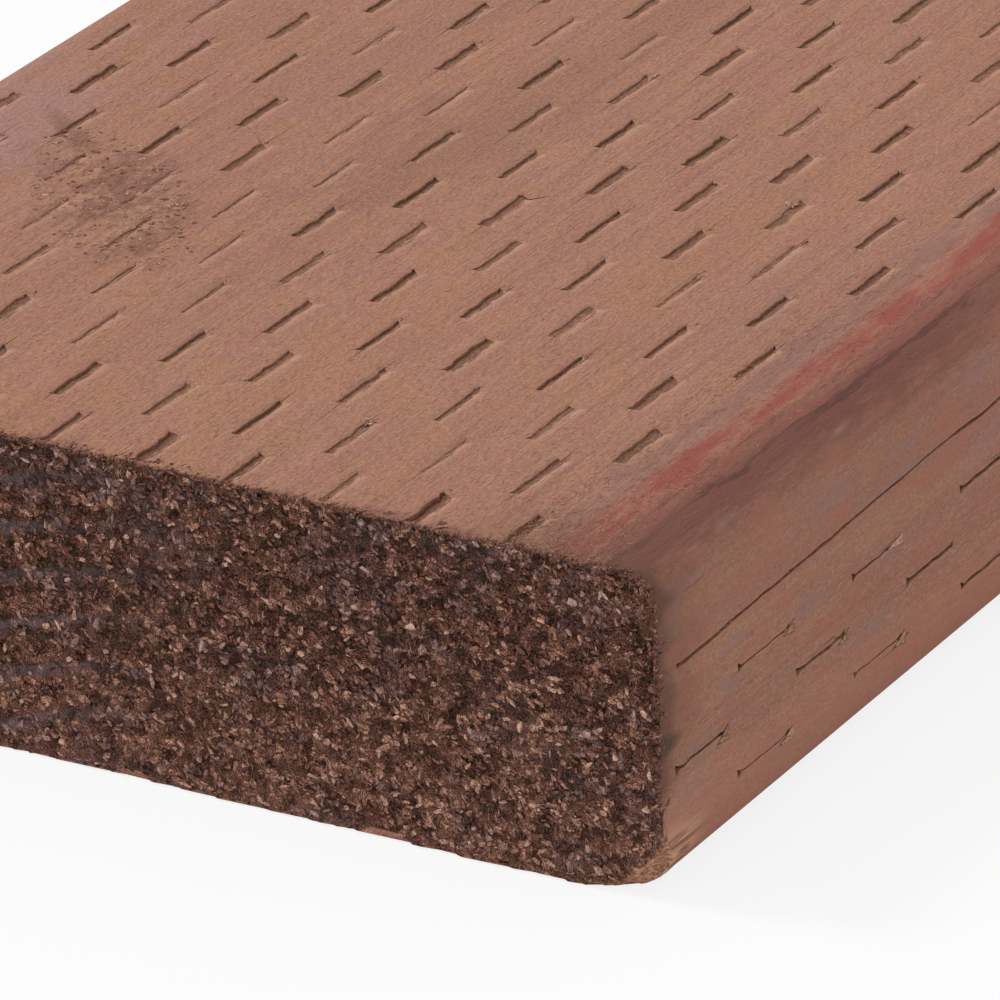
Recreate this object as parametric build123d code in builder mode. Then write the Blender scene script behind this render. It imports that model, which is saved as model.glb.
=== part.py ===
# Pressure-treated board, nominal 2 x 6, sold in 8 ft lengths.
# One sawn and dressed piece of softwood with eased long edges and square-cut ends, lying flat on a wide face.
# Frame in millimetres: origin at the middle of the underside, +X along the grain, +Y across the width, +Z up.

import os

from build123d import *

# Driving dimensions
length = 2438.4  # 8 ft of stock
width = 139.7  # dressed width of a nominal 6 in
thickness = 38.1  # dressed thickness of a nominal 2 in
edge_radius = 6.0  # round that the planer leaves on each long edge

os.makedirs("parts", exist_ok=True)

# Board: the dressed section, standing on its underside, carried along the grain from one sawn end to the other
with BuildPart() as board:
    with BuildSketch(Plane.YZ.offset(-length / 2)) as section:
        Rectangle(width, thickness, align=(Align.CENTER, Align.MIN))
        fillet(section.vertices(), radius=edge_radius)
    extrude(amount=length)

board.part.label = "board"
export_step(board.part, "parts/board.step")
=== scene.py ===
import math

import bpy
import numpy as np
from mathutils import Matrix, Vector


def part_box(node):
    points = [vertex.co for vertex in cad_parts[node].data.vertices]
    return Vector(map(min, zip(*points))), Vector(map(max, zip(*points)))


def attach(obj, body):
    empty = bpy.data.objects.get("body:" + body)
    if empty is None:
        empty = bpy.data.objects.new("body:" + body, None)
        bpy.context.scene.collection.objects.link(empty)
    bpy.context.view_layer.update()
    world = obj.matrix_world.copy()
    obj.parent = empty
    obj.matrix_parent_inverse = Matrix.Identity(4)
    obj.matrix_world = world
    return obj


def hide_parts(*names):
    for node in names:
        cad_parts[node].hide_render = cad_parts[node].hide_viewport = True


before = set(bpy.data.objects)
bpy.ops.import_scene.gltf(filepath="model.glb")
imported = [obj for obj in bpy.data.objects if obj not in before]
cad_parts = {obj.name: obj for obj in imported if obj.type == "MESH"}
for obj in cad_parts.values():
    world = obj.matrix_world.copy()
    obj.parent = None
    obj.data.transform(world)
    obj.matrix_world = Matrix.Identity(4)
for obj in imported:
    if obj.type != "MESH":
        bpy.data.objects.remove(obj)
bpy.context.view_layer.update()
boardLow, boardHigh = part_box("board")

# Shapes are worked out in millimetres: along from the near end, Y across the width, Z up from the floor.
mm = 0.001
length = (boardHigh.x - boardLow.x) / mm
width = (boardHigh.y - boardLow.y) / mm
thickness = (boardHigh.z - boardLow.z) / mm
print("board", round(length, 1), "x", round(width, 1), "x", round(thickness, 1), "mm")


# Points in millimetres from the near end become metres in the shared frame: scaled, then moved.
def toFrame(points):
    return points * mm + np.array([boardLow.x, 0.0, boardLow.z])


# Smooth noise: random values at whole numbers, blended over each cell by a smooth step, from 0 to 1.
def smoothNoise(u, v, seed):
    table = np.random.default_rng(seed).random((128, 128))
    i, j = np.floor(u).astype(int), np.floor(v).astype(int)
    f, g = u - i, v - j
    f, g = f * f * (3 - 2 * f), g * g * (3 - 2 * g)
    low = table[i % 128, j % 128] * (1 - f) + table[(i + 1) % 128, j % 128] * f
    high = table[i % 128, (j + 1) % 128] * (1 - f) + table[(i + 1) % 128, (j + 1) % 128] * f
    return low * (1 - g) + high * g


# Layered noise: octaves of smooth noise, each twice as fine and a little over half as strong.
def layeredNoise(u, v, seed, octaves=3):
    total, weight = 0.0, 0.0
    for step in range(octaves):
        part = 0.55 ** step
        total = total + part * smoothNoise(u * 2 ** step, v * 2 ** step, seed + step)
        weight += part
    return total / weight


# Mesh from whole arrays of corners and triangles, with per-point values and a map for each corner.
def makePiece(name, points, triangles, materials, pointValues, faceSmooth, cornerMap, faceMaterial=None):
    mesh = bpy.data.meshes.new(name)
    count = len(triangles)
    mesh.vertices.add(len(points))
    mesh.vertices.foreach_set("co", toFrame(points).astype(np.float32).ravel())
    mesh.loops.add(count * 3)
    mesh.loops.foreach_set("vertex_index", triangles.astype(np.int32).ravel())
    mesh.polygons.add(count)
    mesh.polygons.foreach_set("loop_start", np.arange(0, count * 3, 3, dtype=np.int32))
    for material in materials:
        mesh.materials.append(material)
    if faceMaterial is not None:
        mesh.polygons.foreach_set("material_index", faceMaterial.astype(np.int32))
    mesh.polygons.foreach_set("use_smooth", faceSmooth)
    for key, values in pointValues.items():
        store = mesh.attributes.new(key, "FLOAT", "POINT")
        store.data.foreach_set("value", values.astype(np.float32))
    store = mesh.uv_layers.new(name="OFBake")
    store.data.foreach_set("uv", cornerMap.astype(np.float32).ravel())
    mesh.update(calc_edges=True)
    mesh.validate()
    piece = bpy.data.objects.new(name, mesh)
    bpy.context.scene.collection.objects.link(piece)
    print(name, len(points), "points", count, "triangles")
    return piece


# Node helpers: a node with its inputs set or linked, by name or number.
def addNode(tree, kind, inputs=None, **settings):
    node = tree.nodes.new(kind)
    for key, value in settings.items():
        setattr(node, key, value)
    for key, value in (inputs or {}).items():
        if isinstance(value, bpy.types.NodeSocket):
            tree.links.new(value, node.inputs[key])
        else:
            node.inputs[key].default_value = value
    return node


# Arithmetic on sockets or plain numbers.
def calc(tree, operation, first, second=0.0, clamp=False):
    settings = dict(operation=operation, use_clamp=clamp)
    return addNode(tree, "ShaderNodeMath", {0: first, 1: second}, **settings).outputs[0]


def times(tree, first, second):
    return calc(tree, "MULTIPLY", first, second)


def plus(tree, first, second, clamp=False):
    return calc(tree, "ADD", first, second, clamp)


def minus(tree, first, second):
    return calc(tree, "SUBTRACT", first, second)


# Move a pattern or a place by an offset, or stretch it, axis by axis.
def onVector(tree, operation, first, second):
    return addNode(tree, "ShaderNodeVectorMath", {0: first, 1: second}, operation=operation).outputs[0]


# A smooth step between two values, from a start to an end.
def ramp(tree, value, low, high, start=0.0, end=1.0):
    numbers = {"Value": value, "From Min": low, "From Max": high, "To Min": start, "To Max": end}
    return addNode(tree, "ShaderNodeMapRange", numbers, interpolation_type="SMOOTHSTEP").outputs[0]


# Mix two colours by a factor.
def mixColour(tree, factor, first, second, blend="MIX"):
    inputs = {0: factor, 6: first, 7: second}
    return addNode(tree, "ShaderNodeMix", inputs, data_type="RGBA", blend_type=blend).outputs[2]


# Layer a colour over another by a mask and a strength.
def layer(tree, colour, mask, strength, over):
    return mixColour(tree, times(tree, mask, strength), colour, over)


# Stretched noise: frequencies are cycles per metre along and across the grain.
def grainNoise(tree, place, alongRate, acrossRate, detail=3.0, roughness=0.55):
    scaled = onVector(tree, "MULTIPLY", place, (alongRate, acrossRate, acrossRate))
    numbers = {"Vector": scaled, "Scale": 1.0, "Detail": detail, "Roughness": roughness}
    return addNode(tree, "ShaderNodeTexNoise", numbers).outputs[0]


# Screen colour values from 0 to 255 as the linear colour that a socket holds.
def tone(red, green, blue):
    values = np.array([red, green, blue]) / 255.0
    linear = np.where(values <= 0.04045, values / 12.92, ((values + 0.055) / 1.055) ** 2.4)
    return (*linear.tolist(), 1.0)


# A shader node group with its named inputs and outputs.
def newGroup(name, inputs, outputs):
    tree = bpy.data.node_groups.new(name, "ShaderNodeTree")
    for key, kind, value in inputs:
        socket = tree.interface.new_socket(name=key, in_out="INPUT", socket_type=kind)
        if value is not None:
            socket.default_value = value
    for key, kind in outputs:
        tree.interface.new_socket(name=key, in_out="OUTPUT", socket_type=kind)
    return tree, tree.nodes.new("NodeGroupInput").outputs, tree.nodes.new("NodeGroupOutput").inputs


# Place a node group in a material, with its inputs set or linked.
def useGroup(tree, group, inputs):
    node = tree.nodes.new("ShaderNodeGroup")
    node.node_tree = group
    for key, value in inputs.items():
        if isinstance(value, bpy.types.NodeSocket):
            tree.links.new(value, node.inputs[key])
        else:
            node.inputs[key].default_value = value
    return node.outputs


floatKind, colourKind, vectorKind = "NodeSocketFloat", "NodeSocketColor", "NodeSocketVector"

# Growth rings: bands by distance from a pith line under the board, wandering along the grain.
rings = dict(pithAcross=-12.0, pithHeight=-52.0, start=60.5, spacing=5.5, wander=12.0, wanderRun=250.0)


def growthRingGroup():
    tree, given, out = newGroup("growthRings", [("Place", vectorKind, None)], [("Late Wood", floatKind)])
    parts = addNode(tree, "ShaderNodeSeparateXYZ", {0: given["Place"]}).outputs
    sway = minus(tree, grainNoise(tree, given["Place"], 2.2, 6.0, 2.0), 0.5)
    run = minus(tree, parts[0], boardLow.x)
    sway = times(tree, sway, ramp(tree, run, 0.0, rings["wanderRun"] * mm))
    across = minus(tree, parts[1], rings["pithAcross"] * mm)
    across = plus(tree, across, times(tree, sway, rings["wander"] * 2 * mm))
    height = minus(tree, parts[2], rings["pithHeight"] * mm)
    reach = calc(tree, "SQRT", plus(tree, calc(tree, "POWER", across, 2.0), calc(tree, "POWER", height, 2.0)))
    reach = plus(tree, reach, times(tree, sway, rings["wander"] * mm))
    age = calc(tree, "DIVIDE", minus(tree, reach, rings["start"] * mm), rings["spacing"] * mm)
    phase = calc(tree, "FRACT", age)
    rise = ramp(tree, phase, 0.55, 0.95)
    fall = ramp(tree, phase, 0.97, 1.0, 1.0, 0.0)
    tree.links.new(times(tree, rise, fall), out["Late Wood"])
    return tree


# Stain patches: three layers of broad noise that say where the treatment dried ochre, purple or dark.
def stainGroup():
    tree, given, out = newGroup("stainPatches", [("Place", vectorKind, None), ("Stretch", floatKind, 1.0)],
                                [("Ochre", floatKind), ("Purple", floatKind), ("Dark", floatKind)])
    parts = addNode(tree, "ShaderNodeSeparateXYZ", {0: given["Place"]}).outputs
    along = calc(tree, "DIVIDE", parts[0], given["Stretch"])
    place = addNode(tree, "ShaderNodeCombineXYZ", {0: along, 1: parts[1], 2: parts[2]}).outputs[0]
    ochre = grainNoise(tree, place, 34.0, 60.0, 3.0, 0.6)
    purple = grainNoise(tree, onVector(tree, "ADD", place, (3.7, 1.9, 5.3)), 22.0, 48.0, 3.0, 0.62)
    dark = grainNoise(tree, onVector(tree, "ADD", place, (8.1, 4.4, 2.6)), 14.0, 70.0, 3.0, 0.6)
    tree.links.new(ramp(tree, ochre, 0.48, 0.68), out["Ochre"])
    tree.links.new(ramp(tree, purple, 0.52, 0.70), out["Purple"])
    tree.links.new(ramp(tree, dark, 0.54, 0.74), out["Dark"])
    return tree


# Fibre lines: stretched noise from broad streaks down to grainy fuzz, for shade, pores and height.
def fibreLineGroup():
    outputs = [(name, floatKind) for name in ("Shade", "Pores", "Fuzz", "Height")]
    tree, given, out = newGroup("fibreLines", [("Place", vectorKind, None)], outputs)
    broad = grainNoise(tree, given["Place"], 60.0, 900.0, 2.0, 0.6)
    fine = grainNoise(tree, given["Place"], 520.0, 3400.0, 2.0, 0.6)
    speck = grainNoise(tree, given["Place"], 1500.0, 3000.0, 2.0, 0.7)
    shade = plus(tree, times(tree, broad, 0.4), times(tree, fine, 0.6))
    tree.links.new(ramp(tree, shade, 0.36, 0.64), out["Shade"])
    tree.links.new(ramp(tree, fine, 0.36, 0.24), out["Pores"])
    tree.links.new(ramp(tree, speck, 0.40, 0.66), out["Fuzz"])
    height = plus(tree, times(tree, fine, 0.6), times(tree, speck, 0.6))
    tree.links.new(height, out["Height"])
    return tree


tornShades = dict(
    deep=tone(46, 31, 26), brown=tone(122, 83, 70), tan=tone(186, 140, 119), pale=tone(220, 184, 162),
    russet=tone(140, 84, 76), olive=tone(124, 98, 68),
)


# Torn grain: a tint roughened by fine and middling noise, from deep brown over brown and tan to pale, with
# spots that lean russet or olive.
def tornGrainGroup():
    s = tornShades
    tree, given, out = newGroup("tornGrain", [("Place", vectorKind, None), ("Tint", floatKind, 0.4)],
                                [("Colour", colourKind), ("Height", floatKind)])
    fine = grainNoise(tree, given["Place"], 5000.0, 5000.0, 1.0, 0.7)
    lump = grainNoise(tree, given["Place"], 1500.0, 1500.0, 2.0, 0.6)
    rough = plus(tree, times(tree, fine, 0.72), times(tree, lump, 0.28))
    rough = times(tree, minus(tree, rough, 0.5), 2.2)
    value = plus(tree, given["Tint"], rough, clamp=True)
    colour = mixColour(tree, ramp(tree, value, 0.0, 0.42), s["deep"], s["brown"])
    colour = mixColour(tree, ramp(tree, value, 0.42, 0.8), colour, s["tan"])
    colour = mixColour(tree, ramp(tree, value, 0.8, 1.0), colour, s["pale"])
    colour = layer(tree, colour, ramp(tree, lump, 0.52, 0.62), 0.35, s["russet"])
    colour = layer(tree, colour, ramp(tree, lump, 0.46, 0.36), 0.4, s["olive"])
    tree.links.new(colour, out["Colour"])
    tree.links.new(plus(tree, times(tree, fine, 0.5), lump), out["Height"])
    return tree


growthRings = growthRingGroup()
stainPatches = stainGroup()
fibreLines = fibreLineGroup()
tornGrain = tornGrainGroup()
print("node groups made")

faceFinish = dict(
    base=tone(157, 110, 91), pale=tone(180, 133, 112), ochre=tone(176, 125, 90), pink=tone(172, 114, 104),
    purple=tone(152, 110, 106), dark=tone(138, 95, 78), late=tone(152, 104, 86), pore=tone(110, 74, 60),
    streakDark=tone(126, 86, 72), fuzzLow=tone(143, 99, 83), fuzzHigh=tone(192, 148, 126),
    lilac=tone(176, 134, 132), dusk=tone(138, 98, 84),
    crumbPale=tone(198, 148, 126), crumbDark=tone(118, 82, 68), smudge=tone(112, 78, 64),
    red=tone(152, 82, 72), maroon=tone(118, 75, 66), plum=tone(134, 97, 90), ragged=tone(92, 61, 53),
    rust=tone(142, 86, 75), sideRed=tone(166, 107, 90), sideLilac=tone(150, 116, 110),
    frost=tone(190, 150, 140), endBand=tone(92, 66, 56), endShade=tone(118, 82, 68), stumpShade=tone(86, 66, 54),
    sidePaleAndLight=tone(180, 124, 105), sideDull=tone(140, 98, 82),
    slitFloor=tone(122, 84, 66), slitPale=tone(152, 112, 92), slitWallShade=tone(92, 59, 45),
    lipHighlightAndBare=tone(204, 158, 136), lipShade=tone(122, 86, 70),
    splitPale=tone(216, 166, 136), splitDark=tone(138, 98, 78),
    roughness=0.85, specular=0.15,
)


# A new material with its roughness and gloss set, and the place on the board in metres.
def startMaterial(name, finish):
    material = bpy.data.materials.new(name)
    material.use_nodes = True
    tree = material.node_tree
    shader = tree.nodes["Principled BSDF"]
    shader.inputs["Roughness"].default_value = finish["roughness"]
    shader.inputs["Specular IOR Level"].default_value = finish["specular"]
    place = addNode(tree, "ShaderNodeTexCoord").outputs["Object"]
    return material, tree, shader, place


# A soft band between four places of a value: rise, full, full, fall.
def band(tree, value, rise, full, stay, fall):
    return times(tree, ramp(tree, value, rise, full), ramp(tree, value, stay, fall, 1.0, 0.0))


# Marks on the upper face are ellipses: their middle along and across from the left edge, their two reaches
# and the turn of the long one towards the right edge.
tornPatch = dict(along=60.0, across=35.0, long=22.0, short=9.0, turn=math.radians(135))
smudgeMark = dict(along=74.1, across=21.0, long=10.0, short=2.0, turn=math.radians(126))
trailMark = dict(along=64.5, across=32.5, long=9.0, short=1.6, turn=math.radians(136))
lilacMark = dict(along=66.0, across=10.0, long=46.0, short=15.0, turn=0.0)
duskMark = dict(along=92.0, across=62.0, long=34.0, short=13.0, turn=math.radians(12))
slitStump = dict(below=20.2, reach=5.2, half=1.1)  # on the right edge


# Distance from the middle of a mark, as a share of its reach.
def reachFrom(tree, place, along, across, long, short, turn):
    centre = (boardLow.x + along * mm, boardHigh.y - across * mm, 0.0)
    turned = addNode(tree, "ShaderNodeVectorRotate", {"Vector": place, "Center": centre, "Angle": turn},
                     rotation_type="Z_AXIS").outputs[0]
    offset = onVector(tree, "SUBTRACT", turned, centre)
    scaled = onVector(tree, "MULTIPLY", offset, (1 / (long * mm), 1 / (short * mm), 0.0))
    return addNode(tree, "ShaderNodeVectorMath", {0: scaled}, operation="LENGTH").outputs["Value"]


# Planed faces: stain over growth rings and fibre lines, a red streak beside one arris, dark slits, and
# painted light and shade.
def faceMaterial():
    f = faceFinish
    material, tree, shader, place = startMaterial("treatedFace", f)
    parts = addNode(tree, "ShaderNodeSeparateXYZ", {0: place}).outputs
    fromEnd = minus(tree, parts[0], boardLow.x)
    ring = useGroup(tree, growthRings, {"Place": place})
    stain = useGroup(tree, stainPatches, {"Place": place, "Stretch": 2.2})
    lines = useGroup(tree, fibreLines, {"Place": place})
    mottle = grainNoise(tree, place, 160.0, 330.0, 3.0)
    colour = mixColour(tree, lines["Shade"], f["base"], f["pale"])
    colour = layer(tree, colour, ramp(tree, mottle, 0.50, 0.64), 0.55, f["ochre"])
    colour = layer(tree, colour, ramp(tree, mottle, 0.48, 0.36), 0.6, f["pink"])
    streaks = grainNoise(tree, place, 26.0, 1300.0, 2.0)
    colour = layer(tree, colour, ramp(tree, streaks, 0.57, 0.70), 0.45, f["streakDark"])
    colour = layer(tree, colour, stain["Ochre"], 0.35, f["ochre"])
    colour = layer(tree, colour, stain["Purple"], 0.4, f["purple"])
    colour = layer(tree, colour, stain["Dark"], 0.35, f["dark"])
    colour = layer(tree, colour, ring["Late Wood"], 0.25, f["late"])
    upperFlat = ramp(tree, parts[2], 0.034, 0.0365)
    wave = minus(tree, mottle, 0.5)
    for mark, spill, strength, name in ((lilacMark, 2.2, 0.6, "lilac"), (duskMark, 2.0, 0.4, "dusk")):
        reach = plus(tree, reachFrom(tree, place, **mark), times(tree, wave, spill))
        colour = layer(tree, colour, times(tree, ramp(tree, reach, 1.05, 0.3), upperFlat), strength, f[name])
    grainy = mixColour(tree, lines["Fuzz"], f["fuzzLow"], f["fuzzHigh"])
    colour = mixColour(tree, 0.35, colour, grainy)
    colour = layer(tree, colour, lines["Pores"], 0.6, f["pore"])
    # Rough patch: pale and dark crumbs, with a dark smudge that trails in from the far left.
    crumb = addNode(tree, "ShaderNodeTexNoise", {"Vector": place, "Scale": 700.0, "Detail": 3.0}).outputs[0]
    patch = plus(tree, reachFrom(tree, place, **tornPatch), times(tree, wave, 1.6))
    patch = times(tree, ramp(tree, patch, 1.1, 0.4), upperFlat)
    colour = layer(tree, colour, times(tree, patch, ramp(tree, crumb, 0.52, 0.66)), 0.4, f["crumbPale"])
    colour = layer(tree, colour, times(tree, patch, ramp(tree, crumb, 0.50, 0.34)), 0.45, f["crumbDark"])
    for mark, strength in ((smudgeMark, 0.5), (trailMark, 0.3)):
        smudge = plus(tree, reachFrom(tree, place, **mark), times(tree, wave, 1.2))
        smudge = times(tree, ramp(tree, smudge, 1.1, 0.3), upperFlat)
        colour = layer(tree, colour, smudge, strength, f["smudge"])
    colour = layer(tree, colour, times(tree, patch, ramp(tree, mottle, 0.56, 0.42)), 0.35, f["smudge"])
    # A plum band, a red streak and a dark maroon band follow the right edge of the upper face and its round.
    sway = times(tree, minus(tree, grainNoise(tree, place, 14.0, 0.0, 2.0), 0.5), 0.003)
    fray = times(tree, minus(tree, grainNoise(tree, place, 150.0, 1100.0, 3.0, 0.7), 0.5), 0.0035)
    inward = minus(tree, parts[1], boardLow.y)
    drift = times(tree, calc(tree, "EXPONENT", calc(tree, "DIVIDE", fromEnd, -0.08)), 0.0012)
    streak = minus(tree, plus(tree, inward, plus(tree, sway, fray)),
                  plus(tree, drift, 0.0099))
    streak = plus(tree, streak, times(tree, wave, 0.002))
    upperRound = ramp(tree, parts[2], 0.030, 0.035)
    hue = grainNoise(tree, place, 90.0, 420.0, 3.0)
    patchy = ramp(tree, hue, 0.34, 0.58, 0.3, 1.0)
    nearer = ramp(tree, fromEnd, 0.06, 0.11, 1.0, 0.5)
    fleck = ramp(tree, grainNoise(tree, place, 300.0, 3000.0, 2.0, 0.7), 0.30, 0.70)
    for name, edges, strength, mask in (
            ("plum", (0.0006, 0.0022, 0.0040, 0.0072), 0.62, patchy),
            ("frost", (0.0000, 0.0014, 0.0030, 0.0060), 0.16, fleck),
            ("red", (-0.0036, -0.0012, 0.0008, 0.0026), 0.95, patchy),
            ("maroon", (-0.0108, -0.0074, -0.0050, -0.0010), 0.92, nearer),
            ("rust", (-0.0054, -0.0046, -0.0032, -0.0024), 0.6, patchy),
            ("ragged", (-0.0031, -0.0028, -0.0026, -0.0022), 0.7, fleck),
            ("ragged", (-0.0060, -0.0055, -0.0052, -0.0047), 0.75, patchy)):
        streakBand = times(tree, band(tree, streak, *edges), upperRound)
        colour = layer(tree, colour, times(tree, streakBand, mask), strength, f[name])
    # The narrow edge is dull in the middle and paler low down, a painted light; near the sawn end painted
    # shade darkens the wood.
    beside = ramp(tree, inward, 0.004, 0.001)
    dulled = times(tree, beside, ramp(tree, fromEnd, 0.05, 0.10, 1.0, 0.2))
    # Paler away from the end, partly its own tone and partly painted light.
    colour = layer(tree, colour, times(tree, beside, ramp(tree, fromEnd, 0.05, 0.11)), 0.22, f["sidePaleAndLight"])
    colour = layer(tree, colour, times(tree, band(tree, parts[2], 0.011, 0.016, 0.026, 0.032), dulled), 0.15,
                   f["sideDull"])
    colour = layer(tree, colour, times(tree, band(tree, parts[2], 0.024, 0.029, 0.036, 0.038), dulled), 0.35,
                   f["sideDull"])
    colour = layer(tree, colour, times(tree, ramp(tree, hue, 0.50, 0.64), beside), 0.5, f["sideRed"])
    colour = layer(tree, colour, times(tree, ramp(tree, hue, 0.44, 0.32), beside), 0.6, f["sideLilac"])
    # Paler low down: painted light standing in for light from below.
    colour = layer(tree, colour, times(tree, ramp(tree, parts[2], 0.014, 0.007), beside), 0.5, f["sidePaleAndLight"])
    wavy = plus(tree, fromEnd, times(tree, wave, 0.008))
    # Painted shade over the narrow edge and the right of the upper face near the sawn end.
    shaded = times(tree, ramp(tree, wavy, 0.014, 0.002), ramp(tree, parts[2], 0.012, 0.018))
    colour = layer(tree, colour, times(tree, shaded, ramp(tree, inward, 0.03, 0.012)), 0.52, f["endShade"])
    # A dark band along the rim of the narrow edge: partly dark torn fibre, partly painted shade of the
    # rounded rim.
    rimFibreAndShade = times(tree, ramp(tree, wavy, 0.0045, 0.0006), ramp(tree, parts[2], 0.010, 0.014))
    colour = layer(tree, colour, times(tree, rimFibreAndShade, beside), 0.7, f["endBand"])
    # Painted shade where the upper face rolls over at the torn rim, stronger towards the left.
    torn = plus(tree, times(tree, fray, 1.6), times(tree, wave, 0.006))
    rimRollShade = times(tree, ramp(tree, plus(tree, fromEnd, torn), 0.0018, 0.0006),
                  ramp(tree, parts[1], 0.0, 0.05, 0.7, 1.0))
    colour = layer(tree, colour, times(tree, rimRollShade, ramp(tree, parts[2], 0.034, 0.037)), 0.5, f["endBand"])
    # At the worn lower corner the fibres lie bare; a slit cut off by the saw leaves a stump, its hollow
    # painted as shade.
    worn = times(tree, ramp(tree, parts[2], 0.0095, 0.0045), ramp(tree, inward, 0.009, 0.004))
    worn = times(tree, worn, ramp(tree, plus(tree, fromEnd, fray), 0.011, 0.004))
    split = ramp(tree, grainNoise(tree, place, 70.0, 1500.0, 2.0), 0.40, 0.60)
    colour = layer(tree, colour, worn, 0.85, mixColour(tree, split, f["splitDark"], f["splitPale"]))
    # Painted shade of the cut slit's hollow on the narrow edge, tapering from the end.
    down = minus(tree, boardHigh.z - slitStump["below"] * mm, parts[2])
    share = calc(tree, "DIVIDE", plus(tree, fromEnd, fray), slitStump["reach"] * mm)
    taper = times(tree, minus(tree, 1.4, share), slitStump["half"] * mm)
    offset = calc(tree, "ABSOLUTE", calc(tree, "DIVIDE", down, calc(tree, "MAXIMUM", taper, 0.0001)))
    stumpShade = times(tree, ramp(tree, offset, 1.5, 0.4), ramp(tree, share, 1.2, 0.4))
    colour = layer(tree, colour, times(tree, stumpShade, beside), 0.9, f["stumpShade"])
    # Slits: a painted highlight along the lip on the right and painted shade on the left, and brown floors
    # with painted shade that deepens towards the left wall.
    lip = addNode(tree, "ShaderNodeAttribute", attribute_name="lip").outputs["Fac"]
    # The pale lip colour is a painted highlight on slit edges, and bare wood along the rim at the worn
    # corner.
    colour = layer(tree, colour, ramp(tree, lip, 0.45, 1.0), 0.6, f["lipHighlightAndBare"])
    colour = layer(tree, colour, ramp(tree, lip, -0.55, -1.0), 0.45, f["lipShade"])
    gloom = addNode(tree, "ShaderNodeAttribute", attribute_name="mark").outputs["Fac"]
    slitFloor = mixColour(tree, lines["Fuzz"], f["slitFloor"], f["slitPale"])
    colour = mixColour(tree, ramp(tree, gloom, 0.02, 0.3), colour, slitFloor)
    # The deepest crease under the left wall takes painted shade.
    colour = mixColour(tree, ramp(tree, gloom, 0.4, 0.9), colour, f["slitWallShade"])
    tree.links.new(colour, shader.inputs["Base Color"])
    relief = plus(tree, lines["Height"], times(tree, times(tree, crumb, patch), 3.0))
    bump = addNode(tree, "ShaderNodeBump", {"Strength": 0.7, "Distance": 0.0004, "Height": relief})
    tree.links.new(bump.outputs[0], shader.inputs["Normal"])
    return material


endFinish = dict(
    deep=tone(62, 44, 37), slate=tone(128, 118, 126), bare=tone(214, 160, 128), bareDark=tone(150, 106, 84),
    roughness=0.9, specular=0.1,
)


# Torn end grain: crumbly brown with painted shade in the hollows, slate along late wood on the left, and bare
# wood at the worn corner.
def endMaterial():
    f = endFinish
    material, tree, shader, place = startMaterial("tornEnd", f)
    ring = useGroup(tree, growthRings, {"Place": place})
    stain = useGroup(tree, stainPatches, {"Place": place, "Stretch": 1.0})
    hollow = addNode(tree, "ShaderNodeAttribute", attribute_name="hollow").outputs["Fac"]
    parts = addNode(tree, "ShaderNodeSeparateXYZ", {0: place}).outputs
    # Lighter low down, and darker in the hollows as painted shade.
    tint = minus(tree, ramp(tree, parts[2], 0.0, 0.022, 0.38, 0.25), times(tree, hollow, 0.16))
    grain = useGroup(tree, tornGrain, {"Place": place, "Tint": tint})
    colour = grain["Colour"]
    leftward = ramp(tree, parts[1], -0.012, 0.012)
    slate = times(tree, ring["Late Wood"], leftward)
    slate = calc(tree, "MAXIMUM", slate, times(tree, stain["Purple"], 0.45))
    colour = layer(tree, colour, slate, 0.6, mixColour(tree, 0.35, f["slate"], colour))
    # Painted shade in the deepest hollows.
    colour = layer(tree, colour, ramp(tree, hollow, 0.55, 1.0), 0.3, f["deep"])
    bare = addNode(tree, "ShaderNodeAttribute", attribute_name="lip").outputs["Fac"]
    split = ramp(tree, grainNoise(tree, place, 70.0, 2800.0, 2.0), 0.36, 0.60)
    wood = mixColour(tree, split, f["bareDark"], f["bare"])
    colour = layer(tree, colour, ramp(tree, bare, 0.08, 0.3), 0.9, wood)
    tree.links.new(colour, shader.inputs["Base Color"])
    bump = addNode(tree, "ShaderNodeBump", {"Strength": 0.9, "Distance": 0.0005, "Height": grain["Height"]})
    tree.links.new(bump.outputs[0], shader.inputs["Normal"])
    return material


chipFinish = dict(slateDark=tone(72, 64, 76), slatePale=tone(152, 138, 148), roughness=0.85, specular=0.1)


# Loose chips: torn grain by each chip's own tint, paler towards the torn tip; some are slate.
def chipMaterial():
    f = chipFinish
    material, tree, shader, place = startMaterial("chipWood", f)
    tint = addNode(tree, "ShaderNodeAttribute", attribute_name="tint").outputs["Fac"]
    reach = addNode(tree, "ShaderNodeAttribute", attribute_name="reach").outputs["Fac"]
    cool = addNode(tree, "ShaderNodeAttribute", attribute_name="cool").outputs["Fac"]
    mixed = plus(tree, tint, times(tree, minus(tree, reach, 0.5), 0.16), clamp=True)
    colour = useGroup(tree, tornGrain, {"Place": place, "Tint": mixed})["Colour"]
    slate = mixColour(tree, ramp(tree, mixed, 0.0, 1.0), f["slateDark"], f["slatePale"])
    colour = layer(tree, colour, cool, 0.4, slate)
    tree.links.new(colour, shader.inputs["Base Color"])
    return material


treatedFace = faceMaterial()
tornEnd = endMaterial()
chipWood = chipMaterial()
print("materials made")

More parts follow.
